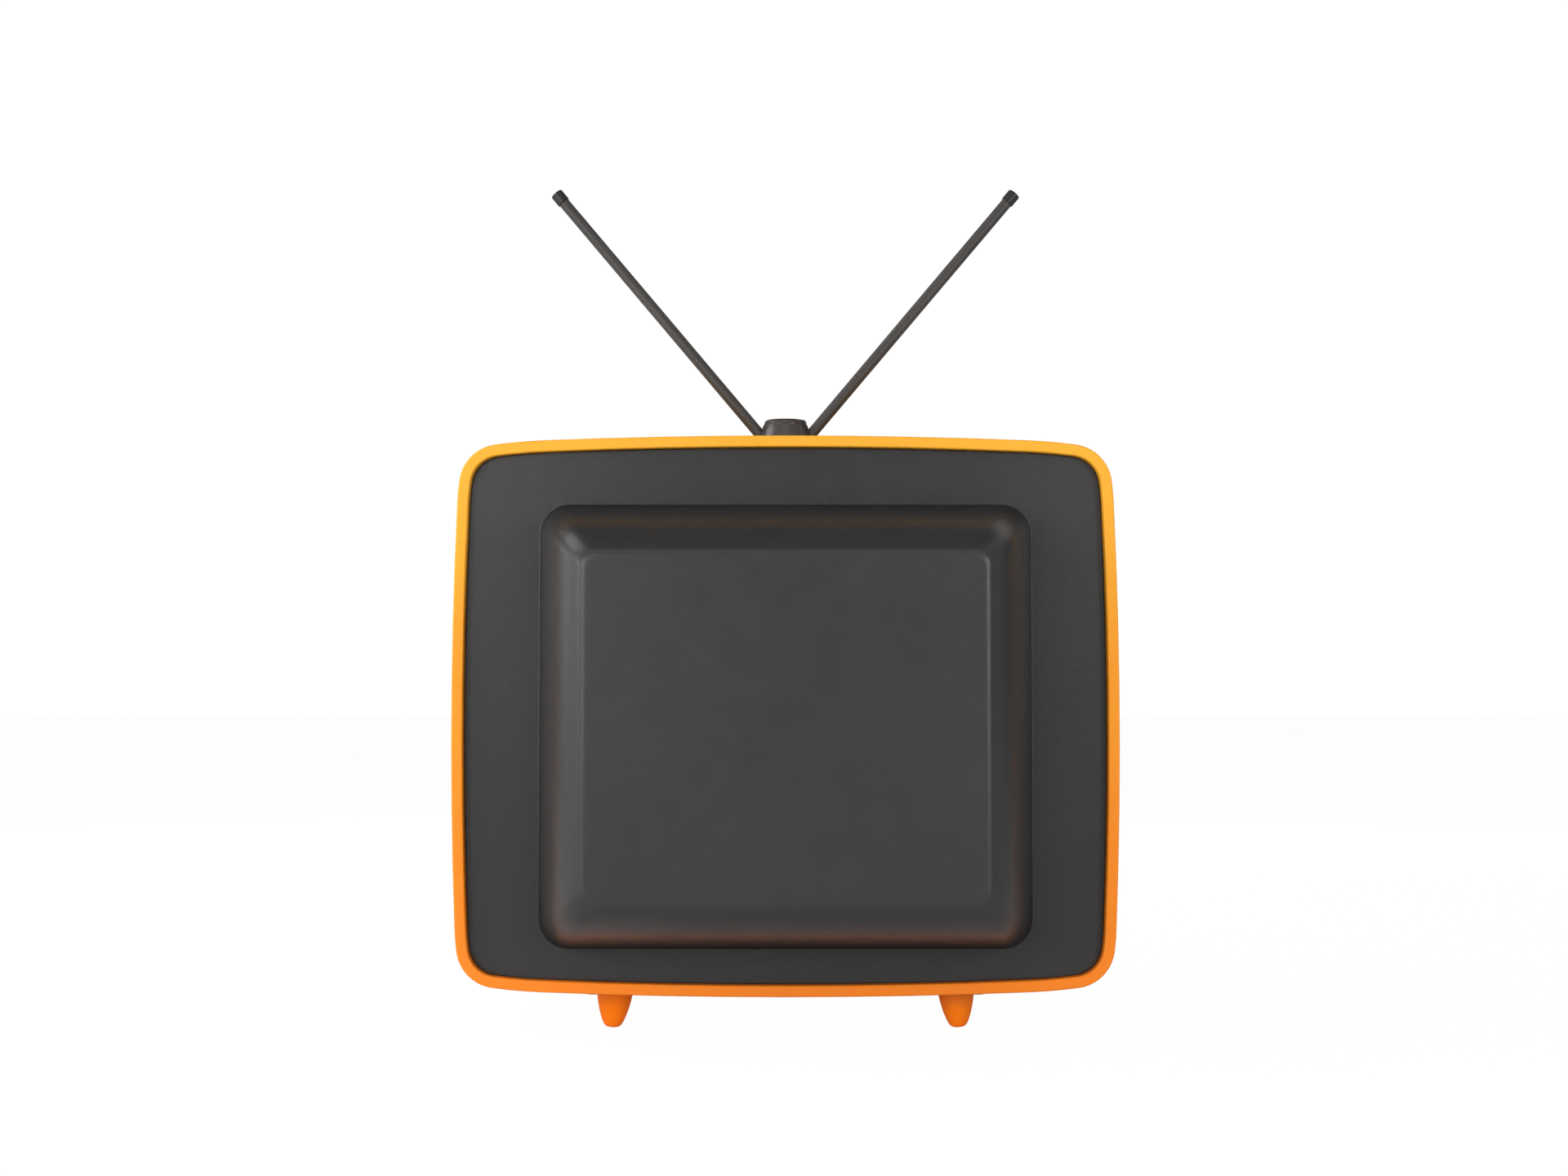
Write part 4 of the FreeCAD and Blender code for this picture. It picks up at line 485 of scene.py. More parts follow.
plain("aerial_plastic", colour=(0.042, 0.038, 0.036), rough=0.24, spec=0.6, var=0.12,
      patch=90, grain=1500, grain_depth=0.000012, edge=0.0001, wear=0.2,
      wear_colour=(0.10, 0.095, 0.09))
rod_metal("rod_metal", colour=(0.061, 0.057, 0.054))
rod_metal("rod_tip_metal", colour=(0.026, 0.024, 0.023))
plain("print_white", colour=(0.74, 0.74, 0.70), rough=0.55, var=0.08, patch=300,
      grain=2500, grain_depth=0.00001)
plain("print_black", colour=(0.020, 0.020, 0.020), rough=0.50, var=0.2, patch=300,
      grain=2500, grain_depth=0.00001)

# material, and the CAD pieces made of it
PIECES = {
    "orange_plastic": "cabinet_shell foot_front_left foot_front_right foot_rear_left"
                      " foot_rear_right",
    "grained_plastic": "rear_cover",
    "bezel_plastic": "front_bezel",
    "brushed_plate": "control_plate",
    "grille_metal": "speaker_grille",
    "surround_plastic": "screen_surround",
    "screen_glass": "tube_faceplate",
    "phosphor": "phosphor_screen",
    "funnel_glass": "tube_funnel",
    "gun_metal": "electron_gun",
    "plated_steel": "tension_band chassis_tray tuner_box volume_control picture_controls"
                    " speaker_basket large_screws small_screws hex_nuts",
    "copper_wire": "deflection_coils",
    "ferrite": "deflection_core centring_magnets line_transformer speaker_magnet",
    "black_plastic": "coil_clamp tube_socket tuner_drum power_switch mains_inlet",
    "board": "neck_board main_board",
    "lead_rubber": "anode_cap wiring",
    "transformer_iron": "mains_transformer",
    "heat_sink_aluminium": "heat_sink",
    "capacitor_can": "filter_capacitors",
    "component_body": "small_components",
    "spindle_steel": "tuner_shaft button_spring aerial_stud aerial_pivot_pins",
    "knob_plastic": "channel_knob volume_knob brightness_knob contrast_knob",
    "knob_ring": "fine_tuning_ring",
    "button_plastic": "power_button",
    "cone_paper": "speaker_cone",
    "socket_metal": "earphone_socket",
    "aerial_plastic": "aerial_base",
    "rod_metal": "rod_left_outer rod_left_middle rod_right_outer rod_right_middle",
    "rod_tip_metal": "rod_left_tip rod_right_tip",
}
MATERIAL_OF = {piece: name for name, pieces in PIECES.items() for piece in pieces.split()}


# ---------------------------------------------------------------------------
# smooth shading for the CAD pieces, by modifiers only
# ---------------------------------------------------------------------------
def soft_shading_tree(degrees):
    """Weld the mesh and shade it smooth, except across edges sharper than the angle."""
    tree = bpy.data.node_groups.new("soft_shading_%d" % degrees, "GeometryNodeTree")
    for way in ("INPUT", "OUTPUT"):
        tree.interface.new_socket("Geometry", in_out=way, socket_type="NodeSocketGeometry")
    start, end = add_node(tree, "NodeGroupInput"), add_node(tree, "NodeGroupOutput")
    drop = add_node(tree, "GeometryNodeRemoveAttribute", Geometry=start.outputs[0],
                    Name="custom_normal")
    weld = add_node(tree, "GeometryNodeMergeByDistance", Geometry=drop.outputs[0],
                    Distance=2e-6)
    faces = add_node(tree, "GeometryNodeSetShadeSmooth", domain="FACE",
                     Geometry=weld.outputs[0], Shade_Smooth=True)
    angle = add_node(tree, "GeometryNodeInputMeshEdgeAngle")
    sharper = add_node(tree, "FunctionNodeCompare", data_type="FLOAT", operation="GREATER_THAN")
    put(sharper.inputs[0], angle.outputs["Unsigned Angle"])
    put(sharper.inputs[1], math.radians(degrees))
    edges = add_node(tree, "GeometryNodeSetShadeSmooth", domain="EDGE",
                     Geometry=faces.outputs[0], Selection=sharper.outputs[0],
                     Shade_Smooth=False)
    put(end.inputs[0], edges.outputs[0])
    return tree


def dress_cad_pieces():
    soft_shading = soft_shading_tree(32)
    for name, piece in NODES.items():
        piece.data.materials.clear()
        piece.data.materials.append(MATERIALS[MATERIAL_OF[name]])
        piece.modifiers.new("soft shading", "NODES").node_group = soft_shading
        weighted = piece.modifiers.new("weighted normals", "WEIGHTED_NORMAL")
        weighted.keep_sharp = True
        weighted.weight = 50


dress_cad_pieces()


# ---------------------------------------------------------------------------
# mesh helpers, millimetres in
# ---------------------------------------------------------------------------
def at(x, y, z):
    return Vector((x * MM, y * MM, z * MM))


def to_object(name, bm, material, body="cabinet", sharp=30):
    """The mesh as an object riding on a body, smooth except at edges over sharp degrees."""
    mesh = bpy.data.meshes.new(name)
    bmesh.ops.recalc_face_normals(bm, faces=bm.faces)
    for face in bm.faces:
        face.smooth = True
    for edge in bm.edges:
        if len(edge.link_faces) == 2 and edge.calc_face_angle(0.0) > math.radians(sharp):
            edge.smooth = False
    bm.to_mesh(mesh)
    bm.free()
    mesh.materials.append(MATERIALS[material])
    made = bpy.data.objects.new(name, mesh)
    bpy.context.scene.collection.objects.link(made)
    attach(made, body)
    return made


def ring_surface(bm, rings, close_start=True):
    """Quads between closed rings of the same number of points; fans at the ends."""
    loops = [[bm.verts.new(p) for p in ring] for ring in rings]
    n = len(rings[0])
    for a, b in zip(loops, loops[1:]):
        for i in range(n):
            j = (i + 1) % n
            bm.faces.new((a[i], a[j], b[j], b[i]))

    def fan(loop, step):
        hub = bm.verts.new(sum((v.co for v in loop), Vector()) / n)
        for i in range(n):
            pair = (loop[i], loop[(i + 1) % n])
            bm.faces.new((hub, *pair[::step]))

    if close_start:
        fan(loops[0], -1)
    fan(loops[-1], 1)
    return loops


def rounded_rectangle(width, height, radius, corner_steps=28, step=3.0):
    """Points round a rectangle about (0, 0), with points about a step apart on its sides."""
    points = []
    corner_x, corner_z = width / 2 - radius, height / 2 - radius
    # corner's sides, first angle, direction of the straight that follows
    for side_x, side_z, first, run_x, run_z in ((1, 1, 0, -1, 0), (-1, 1, 90, 0, -1),
                                                (-1, -1, 180, 1, 0), (1, -1, 270, 0, 1)):
        for k in range(corner_steps + 1):
            a = math.radians(first + 90 * k / corner_steps)
            points.append((side_x * corner_x + radius * math.cos(a),
                           side_z * corner_z + radius * math.sin(a)))
        length = (width if run_x else height) - 2 * radius
        n = int(length / step)
        x, z = points[-1]
        for k in range(1, n):
            points.append((x + run_x * length * k / n, z + run_z * length * k / n))
    return np.array(points)


# ---------------------------------------------------------------------------
# cabinet outline: a quarter is five arcs, from the middle of the side to the middle of the top
# ---------------------------------------------------------------------------
SIDE_RADIUS, SIDE_TURN = 2884.2, math.radians(2.4105)
SIDE_BEND_RADIUS = 139.03
CORNER_RADIUS = 23.70
TOP_BEND_RADIUS = 288.69
TOP_RADIUS, TOP_TURN = 3460.8, math.radians(2.2931)
ARC_STEPS = (40, 26, 24, 26, 40)


def cabinet_outline(inset):
    """Points (x, z) of the outline moved inwards, about the cabinet's middle."""
    side_r, side_bend_r, corner_r, top_bend_r, top_r = (
        r - inset for r in (SIDE_RADIUS, SIDE_BEND_RADIUS, CORNER_RADIUS, TOP_BEND_RADIUS,
                            TOP_RADIUS))
    side = (CABINET_WIDTH / 2 - SIDE_RADIUS, 0.0)
    side_bend = (side[0] + (side_r - side_bend_r) * math.cos(SIDE_TURN),
                 (side_r - side_bend_r) * math.sin(SIDE_TURN))
    top = (0.0, CABINET_HEIGHT / 2 - TOP_RADIUS)
    top_bend = ((top_r - top_bend_r) * math.sin(TOP_TURN),
                top[1] + (top_r - top_bend_r) * math.cos(TOP_TURN))
    # the corner arc touches both bends, so its centre is where two circles cross
    p, q = side_bend_r - corner_r, top_bend_r - corner_r
    dx, dz = top_bend[0] - side_bend[0], top_bend[1] - side_bend[1]
    apart = math.hypot(dx, dz)
    along = (p * p - q * q + apart * apart) / (2 * apart)
    off = math.sqrt(p * p - along * along)
    corner = max(((side_bend[0] + (along * dx + s * off * dz) / apart,
                   side_bend[1] + (along * dz - s * off * dx) / apart) for s in (1, -1)),
                 key=lambda c: c[0])
    corner_from = math.atan2(corner[1] - side_bend[1], corner[0] - side_bend[0])
    corner_to = math.atan2(corner[1] - top_bend[1], corner[0] - top_bend[0])
    upright = math.pi / 2
    # centre, radius, first angle, last angle
    arcs = ((side, side_r, 0.0, SIDE_TURN),
            (side_bend, side_bend_r, SIDE_TURN, corner_from),
            (corner, corner_r, corner_from, corner_to),
            (top_bend, top_bend_r, corner_to, upright - TOP_TURN),
            (top, top_r, upright - TOP_TURN, upright))
    quarter = []
    for (centre, radius, first, last), n in zip(arcs, ARC_STEPS):
        for k in range(n):
            a = first + (last - first) * k / n
            quarter.append((centre[0] + radius * math.cos(a), centre[1] + radius * math.sin(a)))
    rest = quarter[1:]
    peak = top[1] + top_r
    return np.array(quarter + [(0.0, peak)]
                    + [(-x, z) for x, z in reversed(rest)] + [(-quarter[0][0], 0.0)]
                    + [(-x, -z) for x, z in rest] + [(0.0, -peak)]
                    + [(x, -z) for x, z in reversed(rest)])


def reach(points, centre, angles):
    """Distance from the centre to a closed curve, along each angle."""
    d = points - centre
    a = np.arctan2(d[:, 1], d[:, 0])
    order = np.argsort(a)
    a, d = a[order], d[order]
    # where each ray crosses the chord that spans its angle
    index = np.searchsorted(a, angles) % len(a)
    p1, p0 = d[index], d[index - 1]
    chord = p1 - p0
    ray_x, ray_z = np.cos(angles), np.sin(angles)
    det = ray_x * -chord[:, 1] + ray_z * chord[:, 0]
    return (p0[:, 0] * -chord[:, 1] + p0[:, 1] * chord[:, 0]) / det


# ---------------------------------------------------------------------------
# rear cover: flat flange, swelling housing, rounded edge round its end face
# ---------------------------------------------------------------------------
FACE_WIDTH, FACE_HEIGHT = 217.8, 189.6    # end face
FACE_CORNER, FOOT_CORNER = 8.8, 17.3      # corner radii at the end face and at the flange
HOUSING_DEPTH = 80.0
SPREAD = 31.5                             # growth on each side, from end face to flange
KNEE_OUT, KNEE_BACK = 22.0, 67.0          # middle control point of the side's curve
HOUSING_DROP = 6.4                        # housing's centre below the cabinet's middle
FLANGE_INSET, FLANGE_FACE_INSET = 6.85, 7.15    # from the cabinet outline
FLANGE_THICK = 3.0
WALL = 2.8
FILLET = 0.6                              # between flange and housing
MIN_ANGLE_GAP = math.radians(0.10)
SIDE_END = 0.045                          # curve parameter where the rounded edge begins
CENTRE = np.array((0.0, -HOUSING_DROP))


def cover_angles():
    """Angles about the centre that catch every bend of the housing and the flange."""
    curves = [rounded_rectangle(FACE_WIDTH, FACE_HEIGHT, FACE_CORNER) + CENTRE,
              rounded_rectangle(FACE_WIDTH + 2 * SPREAD, FACE_HEIGHT + 2 * SPREAD,
                                FOOT_CORNER) + CENTRE,
              cabinet_outline(FLANGE_INSET)]
    angles = np.sort(np.concatenate([np.arctan2(*(p - CENTRE).T[::-1]) for p in curves]))
    kept = [angles[0]]
    for a in angles[1:]:
        if a - kept[-1] > MIN_ANGLE_GAP:
            kept.append(a)
    return np.array(kept)


def housing_side(k):
    """Growth and distance behind the flange, from the end face (0) to the flange (1)."""
    return (2 * k * (1 - k) * KNEE_OUT + k * k * SPREAD,
            (1 - k) ** 2 * HOUSING_DEPTH + 2 * k * (1 - k) * KNEE_BACK)


def rear_cover():
    angles = cover_angles()
    end_y = COVER_Y + HOUSING_DEPTH

    def section(growth, inset=0.0):
        corner = FACE_CORNER + (FOOT_CORNER - FACE_CORNER) * growth / SPREAD
        points = rounded_rectangle(FACE_WIDTH + 2 * growth - 2 * inset,
                                   FACE_HEIGHT + 2 * growth - 2 * inset,
                                   max(corner - inset * 0.5, 3.0), corner_steps=48, step=1.5)
        return reach(points + CENTRE, CENTRE, angles)

    def ring(radii, y):
        return [at(CENTRE[0] + r * math.cos(a), y, MIDDLE_Z + CENTRE[1] + r * math.sin(a))
                for r, a in zip(radii, angles)]

    # flange, with a softened rim
    rim = reach(cabinet_outline(FLANGE_INSET), CENTRE, angles)
    face_rim = reach(cabinet_outline(FLANGE_FACE_INSET), CENTRE, angles)
    base = section(SPREAD)
    rings = [ring(rim, COVER_Y - FLANGE_THICK), ring(rim, COVER_Y - 0.35),
             ring((rim + face_rim) / 2, COVER_Y - 0.08), ring(face_rim, COVER_Y)]
    for t in (0.015, 0.35, 0.7, 0.985):
        rings.append(ring(face_rim + (base + FILLET - face_rim) * t, COVER_Y))
    # hollow fillet where the housing rises from the flange
    for s in range(7):
        a = math.radians(90 * s / 7)
        rings.append(ring(base + FILLET * (1 - math.sin(a)),
                          COVER_Y + FILLET * (1 - math.cos(a))))
    # swelling side, from where the fillet ends
    side_start = 1.0
    while housing_side(side_start)[1] < FILLET:
        side_start -= 0.0005
    side_steps = 34
    for s in range(side_steps + 1):
        growth, back = housing_side(side_start + (SIDE_END - side_start) * s / side_steps)
        rings.append(ring(section(growth), COVER_Y + back))
    # rounded edge between the swelling side and the end face
    k = SIDE_END
    turn = math.atan2(2 * (1 - k) * HOUSING_DEPTH - 2 * (1 - 2 * k) * KNEE_BACK,
                      2 * (1 - 2 * k) * KNEE_OUT + 2 * k * SPREAD)
    radius = (HOUSING_DEPTH - back) / (1 - math.cos(turn))
    face_edge = growth - radius * math.sin(turn)
    for s in range(1, 13):
        t = turn * (1 - s / 12)
        growth = face_edge + radius * math.sin(t)
        rings.append(ring(section(max(growth, 0.0), max(-growth, 0.0)),
                          end_y - radius * (1 - math.cos(t))))
    for part in (0.98, 0.80, 0.5, 0.2):
        rings.append(ring(section(0.0, -face_edge) * part, end_y))
    bm = bmesh.new()
    outer = ring_surface(bm, rings, close_start=False)
    # inside face
    inside = [ring(section(SPREAD, WALL), COVER_Y - FLANGE_THICK)]
    for s in range(13):
        growth, back = housing_side(1.0 - s / 12)
        inside.append(ring(section(growth, WALL),
                           COVER_Y + back * (HOUSING_DEPTH - WALL) / HOUSING_DEPTH))
    inside.append(ring(section(0.0, WALL) * 0.5, end_y - WALL))
    inner = ring_surface(bm, inside, close_start=False)
    n = len(angles)
    for i in range(n):
        j = (i + 1) % n
        bm.faces.new((outer[0][j], outer[0][i], inner[0][i], inner[0][j]))
    cover = to_object("rear_cover_moulding", bm, "grained_plastic", sharp=28)
    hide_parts("rear_cover")


# ---------------------------------------------------------------------------
# screw tabs below and tongues above, on the inside of the rear cover
# ---------------------------------------------------------------------------
TAB_X, TONGUE_X = 110, 90
TAB_WIDTH, TAB_LENGTH, TAB_CORNER = 14, 17, 2.0
TAB_FRONT = COVER_Y - 19.5
TAB_BOTTOM, TAB_THICK = 34.5, 4.0
HOLE_Y, HOLE_RADIUS = 45.5, 1.95
TONGUE_HALF = 8                           # half the tongue's width
TONGUE_FRONT = COVER_Y - 10
# rear face measured from COVER_Y, then bottom and top measured from CABINET_TOP
TONGUE_BLOCKS = ((-2.6, -14.9, -11.9), (-6.6, -13.9, -8.5))


def rounded_block(bm, x, y, z):
    """A block between pairs of limits, with rounded edges along Y and small end chamfers."""
    width, height = x[1] - x[0], z[1] - z[0]
    middle_x, middle_z = (x[0] + x[1]) / 2, (z[0] + z[1]) / 2
    points = rounded_rectangle(width, height, 0.5, corner_steps=5, step=50.0)
    chamfer = 0.3
    ring_surface(bm, [[at(middle_x + u * (1 - cut / (width / 2)), level,
                          middle_z + v * (1 - cut / (height / 2))) for u, v in points]
                      for level, cut in ((y[0], chamfer), (y[0] + chamfer, 0.0),
                                         (y[1] - chamfer, 0.0), (y[1], chamfer))])


def screw_tab(bm, x):
    """A flat tab with a screw hole through it."""
    middle_y = TAB_FRONT + TAB_LENGTH / 2
    rim = [(x + u, middle_y + v)
           for u, v in rounded_rectangle(TAB_WIDTH, TAB_LENGTH, TAB_CORNER, corner_steps=6,
                                         step=60.0)]
    hole = []
    for u, v in rim:
        a = math.atan2(v - HOLE_Y, u - x)
        hole.append((x + HOLE_RADIUS * math.cos(a), HOLE_Y + HOLE_RADIUS * math.sin(a)))
    rim_low, rim_high, hole_low, hole_high = (
        [bm.verts.new(at(u, v, z)) for u, v in points]
        for points in (rim, hole) for z in (TAB_BOTTOM, TAB_BOTTOM + TAB_THICK))
    n = len(rim)
    for i in range(n):
        j = (i + 1) % n
        for a, b in ((rim_low, rim_high), (rim_high, hole_high), (hole_high, hole_low),
                     (hole_low, rim_low)):
            bm.faces.new((a[i], a[j], b[j], b[i]))


def cover_lugs():
    bm = bmesh.new()
    for side in (1, -1):
        screw_tab(bm, side * TAB_X)
        x = side * TONGUE_X
        for rear, bottom, top in TONGUE_BLOCKS:
            rounded_block(bm, x=(x - TONGUE_HALF, x + TONGUE_HALF),
                          y=(TONGUE_FRONT, COVER_Y + rear),
                          z=(CABINET_TOP + bottom, CABINET_TOP + top))
    to_object("rear_cover_lugs", bm, "grained_plastic")


# ---------------------------------------------------------------------------
# feet: smooth turned cones with rounded tips, splayed outwards towards the floor
# ---------------------------------------------------------------------------
FOOT_RADIUS = 10.5
FOOT_LEAN = 3.8       # degrees
# fraction of the foot's radius, height
FOOT_PROFILE = (
    (0.0, 0.0), (0.06, 0.0), (0.15, 0.0), (0.24, 0.10), (0.34, 0.40), (0.42, 0.95),
    (0.49, 1.75), (0.555, 2.95), (0.62, 4.4), (0.71, 6.9), (0.79, 9.6), (0.86, 12.4),
    (0.92, 15.2), (0.967, 18.1), (0.993, 20.8), (1.0, 23.1),
)


def catmull(points, steps):
    """A smooth curve through the points, with so many steps between neighbours."""
    p = [np.array(q, float) for q in points]
    p = [2 * p[0] - p[1]] + p + [2 * p[-1] - p[-2]]
    curve = []
    for i in range(1, len(p) - 2):
        a, b, c, e = p[i - 1:i + 3]
        for k in range(steps):
            t = k / steps
            curve.append(0.5 * ((2 * b) + (c - a) * t + (2 * a - 5 * b + 4 * c - e) * t * t
                                + (3 * b - a - 3 * c + e) * t ** 3))
    curve.append(p[-2])
    return curve


def foot(name, x, y):
    bm = bmesh.new()
    # the closing fan covers the tip, so points next to the axis are left out
    profile = [q for q in catmull(FOOT_PROFILE, steps=5) if q[0] > 0.03]
    turns = np.linspace(0, 2 * math.pi, 96, endpoint=False)
    ring_surface(bm, [[at(FOOT_RADIUS * part * math.cos(a), FOOT_RADIUS * part * math.sin(a), z)
                       for a in turns] for part, z in profile])
    lean = Matrix.Rotation(math.radians(-FOOT_LEAN if x > 0 else FOOT_LEAN), 4, "Y")
    bmesh.ops.transform(bm, matrix=Matrix.Translation(at(x, y, 0)) @ lean, verts=bm.verts)
    # keep the tilted tip above the floor
    for v in bm.verts:
        v.co.z = max(v.co.z, 0.0)
    cone = to_object(name + "_cone", bm, "orange_plastic", sharp=60)
    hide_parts(name)


# ---------------------------------------------------------------------------
# printed and inlaid marks on the controls
# ---------------------------------------------------------------------------
CONTROLS_X = 131.0
CHANNEL_Z, VOLUME_Z, PICTURE_Z = 284, 226, 191
BRIGHTNESS_X, CONTRAST_X = CONTROLS_X - 17, CONTROLS_X + 17
NUMERAL_SIZE, NUMERAL_RING = 5.4, 35.0    # letter size, radius of the ring they stand on
FIRST_CHANNEL, CHANNELS = 2, 12
TICK_WIDTH = 0.55
# x, z, radius of the ring of ticks, count, tick length
SCALES = ((CONTROLS_X, VOLUME_Z, 18.6, 11, 2.6),
          (BRIGHTNESS_X, PICTURE_Z, 11.6, 7, 1.9),
          (CONTRAST_X, PICTURE_Z, 11.6, 7, 1.9))
# name, body, x, z, y of the knob's face, inner and outer end from the axis, width
POINTERS = (
    ("channel_pointer", "channel_selector", CONTROLS_X, CHANNEL_Z, -139.5, 4.6, 10.6, 1.1),
    ("volume_pointer", "volume", CONTROLS_X, VOLUME_Z, -138.0, 4.0, 11.0, 0.9),
    ("brightness_pointer", "brightness", BRIGHTNESS_X, PICTURE_Z, -134.5, 2.0, 6.6, 0.7),
    ("contrast_pointer", "contrast", CONTRAST_X, PICTURE_Z, -134.5, 2.0, 6.6, 0.7),
)


def bar(bm, x, z, angle, length, width, front, back):
    """A flat bar with round ends, its long axis at the angle from +Z towards +X."""
    radius = width / 2
    points = []
    for end, first in ((1, 0.0), (-1, math.pi)):
        for k in range(9):
            a = first + math.pi * k / 8
            points.append((radius * math.cos(a),
                           end * (length / 2 - radius) + radius * math.sin(a)))
    ca, sa = math.cos(angle), math.sin(angle)
    # the front edge is chamfered by narrowing the bar
    ring_surface(bm, [[at(x + u * part * ca + v * sa, y, z - u * part * sa + v * ca)
                       for u, v in points]
                      for y, part in ((back, 1.0), (front + 0.04, 1.0), (front, 0.86))])


def numerals():
    """Channel numbers in a ring, the first at the top."""
    bm = bmesh.new()
    for k in range(CHANNELS):
        curve = bpy.data.curves.new("digit", "FONT")
        curve.body = str(FIRST_CHANNEL + k)
        curve.size = NUMERAL_SIZE * MM
        curve.extrude = 0.05 * MM
        curve.resolution_u = 4
        curve.align_x, curve.align_y = "CENTER", "CENTER"
        text = bpy.data.objects.new("digit", curve)
        bpy.context.scene.collection.objects.link(text)
        bpy.context.view_layer.update()
        evaluated = text.evaluated_get(bpy.context.evaluated_depsgraph_get())
        mesh = bpy.data.meshes.new_from_object(evaluated)
        a = math.radians(360 / CHANNELS * k)
        where = at(CONTROLS_X + NUMERAL_RING * math.sin(a), PLATE_Y - 0.03,
                   CHANNEL_Z + NUMERAL_RING * math.cos(a))
        mesh.transform(Matrix.Translation(where) @ Matrix.Rotation(math.pi / 2, 4, "X"))
        bm.from_mesh(mesh)
        bpy.data.objects.remove(text)
        bpy.data.curves.remove(curve)
        bpy.data.meshes.remove(mesh)
    bmesh.ops.remove_doubles(bm, verts=bm.verts, dist=1e-7)
    to_object("channel_numerals", bm, "print_black")


def ticks():
    """Rings of ticks over 270 degrees, open at the bottom."""
    bm = bmesh.new()
    for x, z, radius, count, length in SCALES:
        for k in range(count):
            a = math.radians(-135 + 270 * k / (count - 1))
            bar(bm, x + radius * math.sin(a), z + radius * math.cos(a), angle=a, length=length,
                width=TICK_WIDTH, front=PLATE_Y - 0.06, back=PLATE_Y + 0.02)
    to_object("control_scale_marks", bm, "print_black")


def pointers():
    for name, body, x, z, y, inner, outer, width in POINTERS:
        bm = bmesh.new()
        bar(bm, x, z + (inner + outer) / 2, angle=0.0, length=outer - inner, width=width,
            front=y - 0.06, back=y + 0.10)
        to_object(name, bm, "print_white", body=body)


rear_cover()
cover_lugs()
for end_name, foot_y in (("front", -97.5), ("rear", 32.5)):
    for side_name, foot_x in (("left", -100.2), ("right", 100.2)):
        foot("foot_%s_%s" % (end_name, side_name), foot_x, foot_y)
numerals()
ticks()
pointers()


# ---------------------------------------------------------------------------
# stage: pale floor, white surroundings, soft boxes; metres
# ---------------------------------------------------------------------------
WHITE = (1.0, 1.0, 1.0)
SEEN_WHITE = 1.02     # brightness of floor and world as the camera sees them


def floor():
    """A pale disc that the camera sees as almost pure white."""
    bm = bmesh.new()
    bmesh.ops.create_circle(bm, cap_ends=True, segments=96, radius=12.0)
    mesh = bpy.data.meshes.new("floor")
    bm.to_mesh(mesh)
    bm.free()
    disc = bpy.data.objects.new("floor", mesh)
    bpy.context.scene.collection.objects.link(disc)
    material = bpy.data.materials.new("pale_floor")
    material.use_nodes = True
    tree = material.node_tree
    tree.nodes.clear()
    output = add_node(tree, "ShaderNodeOutputMaterial")
    mix = add_node(tree, "ShaderNodeMixShader")
    diffuse = add_node(tree, "ShaderNodeBsdfDiffuse", Color=(0.86, 0.86, 0.86))
    seen = add_node(tree, "ShaderNodeEmission", Color=WHITE, Strength=SEEN_WHITE)
    path = add_node(tree, "ShaderNodeLightPath")
    share = add_node(tree, "ShaderNodeMath", operation="MULTIPLY")
    glow = add_node(tree, "ShaderNodeEmission", Color=WHITE, Strength=0.04)
    lit = add_node(tree, "ShaderNodeAddShader")
    put(share.inputs[0], path.outputs["Is Camera Ray"])
    put(share.inputs[1], 0.96)
    put(lit.inputs[0], diffuse.outputs[0])
    put(lit.inputs[1], glow.outputs[0])
    for socket, source in zip(mix.inputs, (share, lit, seen)):
        put(socket, source.outputs[0])
    put(output.inputs[0], mix.outputs[0])
    mesh.materials.append(material)
    disc.location = (0, 0, -0.0002)


def world():
    """White to the camera, dim as a light."""
    studio = bpy.data.worlds.new("studio")
    bpy.context.scene.world = studio
    studio.use_nodes = True
    tree = studio.node_tree
    tree.nodes.clear()
    output = add_node(tree, "ShaderNodeOutputWorld")
    path = add_node(tree, "ShaderNodeLightPath")
    strength = add_node(tree, "ShaderNodeMapRange", Value=path.outputs["Is Camera Ray"],
                        To_Min=0.055, To_Max=SEEN_WHITE)
    background = add_node(tree, "ShaderNodeBackground", Color=WHITE,
                          Strength=strength.outputs[0])
    put(output.inputs[0], background.outputs[0])


def soft_box(name, where, target, width, height, brightness):
    light = bpy.data.lights.new(name, "AREA")
    light.shape = "RECTANGLE"
    light.size, light.size_y = width, height
    light.energy = brightness * math.pi * width * height
    box = bpy.data.objects.new(name, light)
    bpy.context.scene.collection.objects.link(box)
    box.location = where
    box.rotation_mode = "QUATERNION"
    box.rotation_quaternion = (Vector(target) - Vector(where)).to_track_quat("-Z", "Y")
    box.visible_camera = False


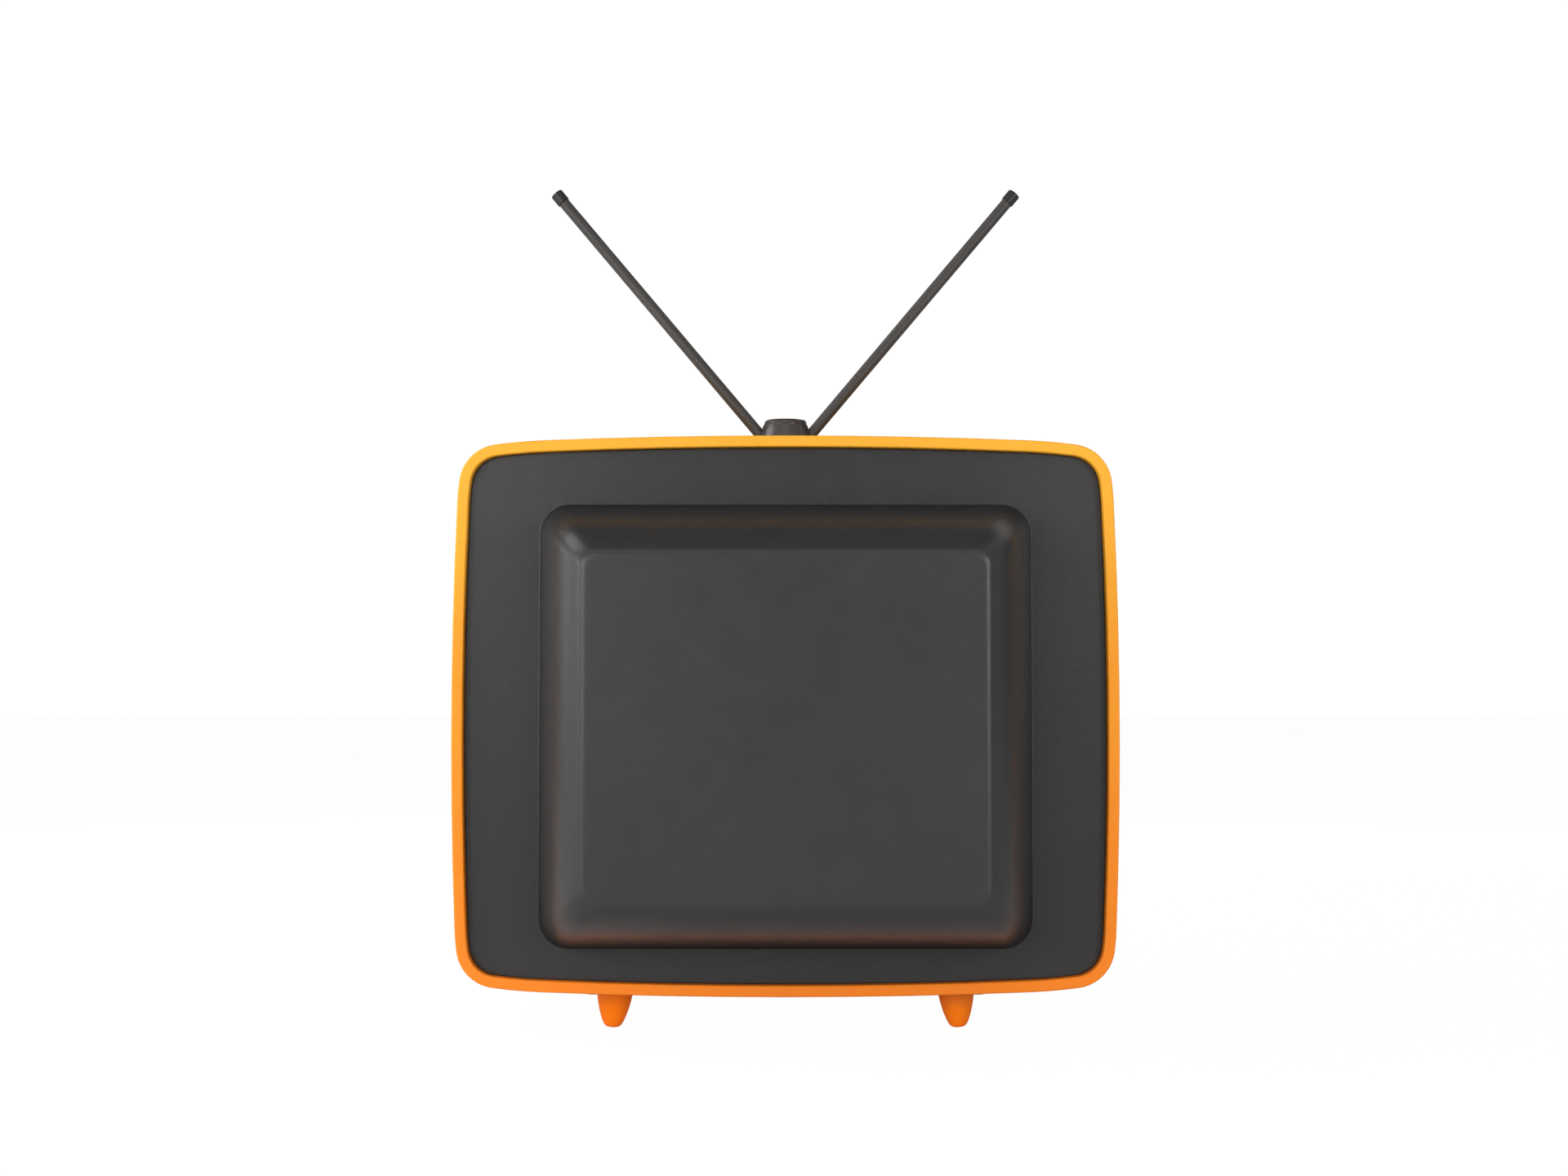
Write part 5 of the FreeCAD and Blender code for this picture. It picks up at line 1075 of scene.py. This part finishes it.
AIM = (0, 0.03, 0.19)
# degrees up, distance, box height, then per box: degrees from +Y towards +X, width, brightness
BOX_ROWS = (
    (10, 2.0, 0.7, ((18, 0.6, 3.4), (37, 0.3, 13.5), (54, 0.6, 3.0), (72, 0.6, 5.0),
                    (90, 0.6, 1.4), (108, 0.6, 2.4), (-18, 0.6, 1.9), (-38, 0.35, 14.0),
                    (-54, 0.6, 0.5), (-72, 0.6, 0.3), (-90, 0.6, 0.2))),
    (42, 2.0, 0.9, ((0, 1.2, 1.0), (45, 1.2, 0.6), (90, 1.2, 3.2), (-45, 1.2, 0.5),
                    (-90, 1.2, 0.4), (-135, 1.2, 0.9))),
    (12, 1.3, 1.3, ((90, 0.2, 0.7), (-90, 0.2, 0.5))),
)


def lights():
    for up, distance, height, boxes in BOX_ROWS:
        rise = math.radians(up)
        for degrees, width, brightness in boxes:
            turn = math.radians(degrees)
            where = (AIM[0] + math.sin(turn) * math.cos(rise) * distance,
                     AIM[1] + math.cos(turn) * math.cos(rise) * distance,
                     AIM[2] + math.sin(rise) * distance)
            soft_box("box_%d_%d_%d" % (degrees, up, int(width * 10)), where, AIM, width,
                     height, brightness)
    screen = (0, -0.1, 0.18)
    soft_box("screen_side_key", where=(0.95, -1.55, 0.85), target=screen, width=1.4,
             height=1.2, brightness=2.2)
    soft_box("screen_side_fill", where=(-0.85, -1.60, 0.60), target=screen, width=0.8,
             height=1.2, brightness=1.1)


def camera():
    """Looks at the rear cover, tipped slightly upwards."""
    lens = bpy.data.cameras.new("photo_view")
    lens.lens = 50.0
    lens.sensor_width = 36.0
    lens.clip_start, lens.clip_end = 0.01, 60.0
    view = bpy.data.objects.new("photo_view", lens)
    bpy.context.scene.collection.objects.link(view)
    view.location = (0.00085, 1.30455, 0.19946)
    view.rotation_euler = (math.radians(92.4768), 0.0, math.radians(180.0))
    bpy.context.scene.camera = view


floor()
world()
lights()
camera()
bpy.context.scene.view_settings.view_transform = "Standard"
bpy.context.scene.view_settings.look = "None"
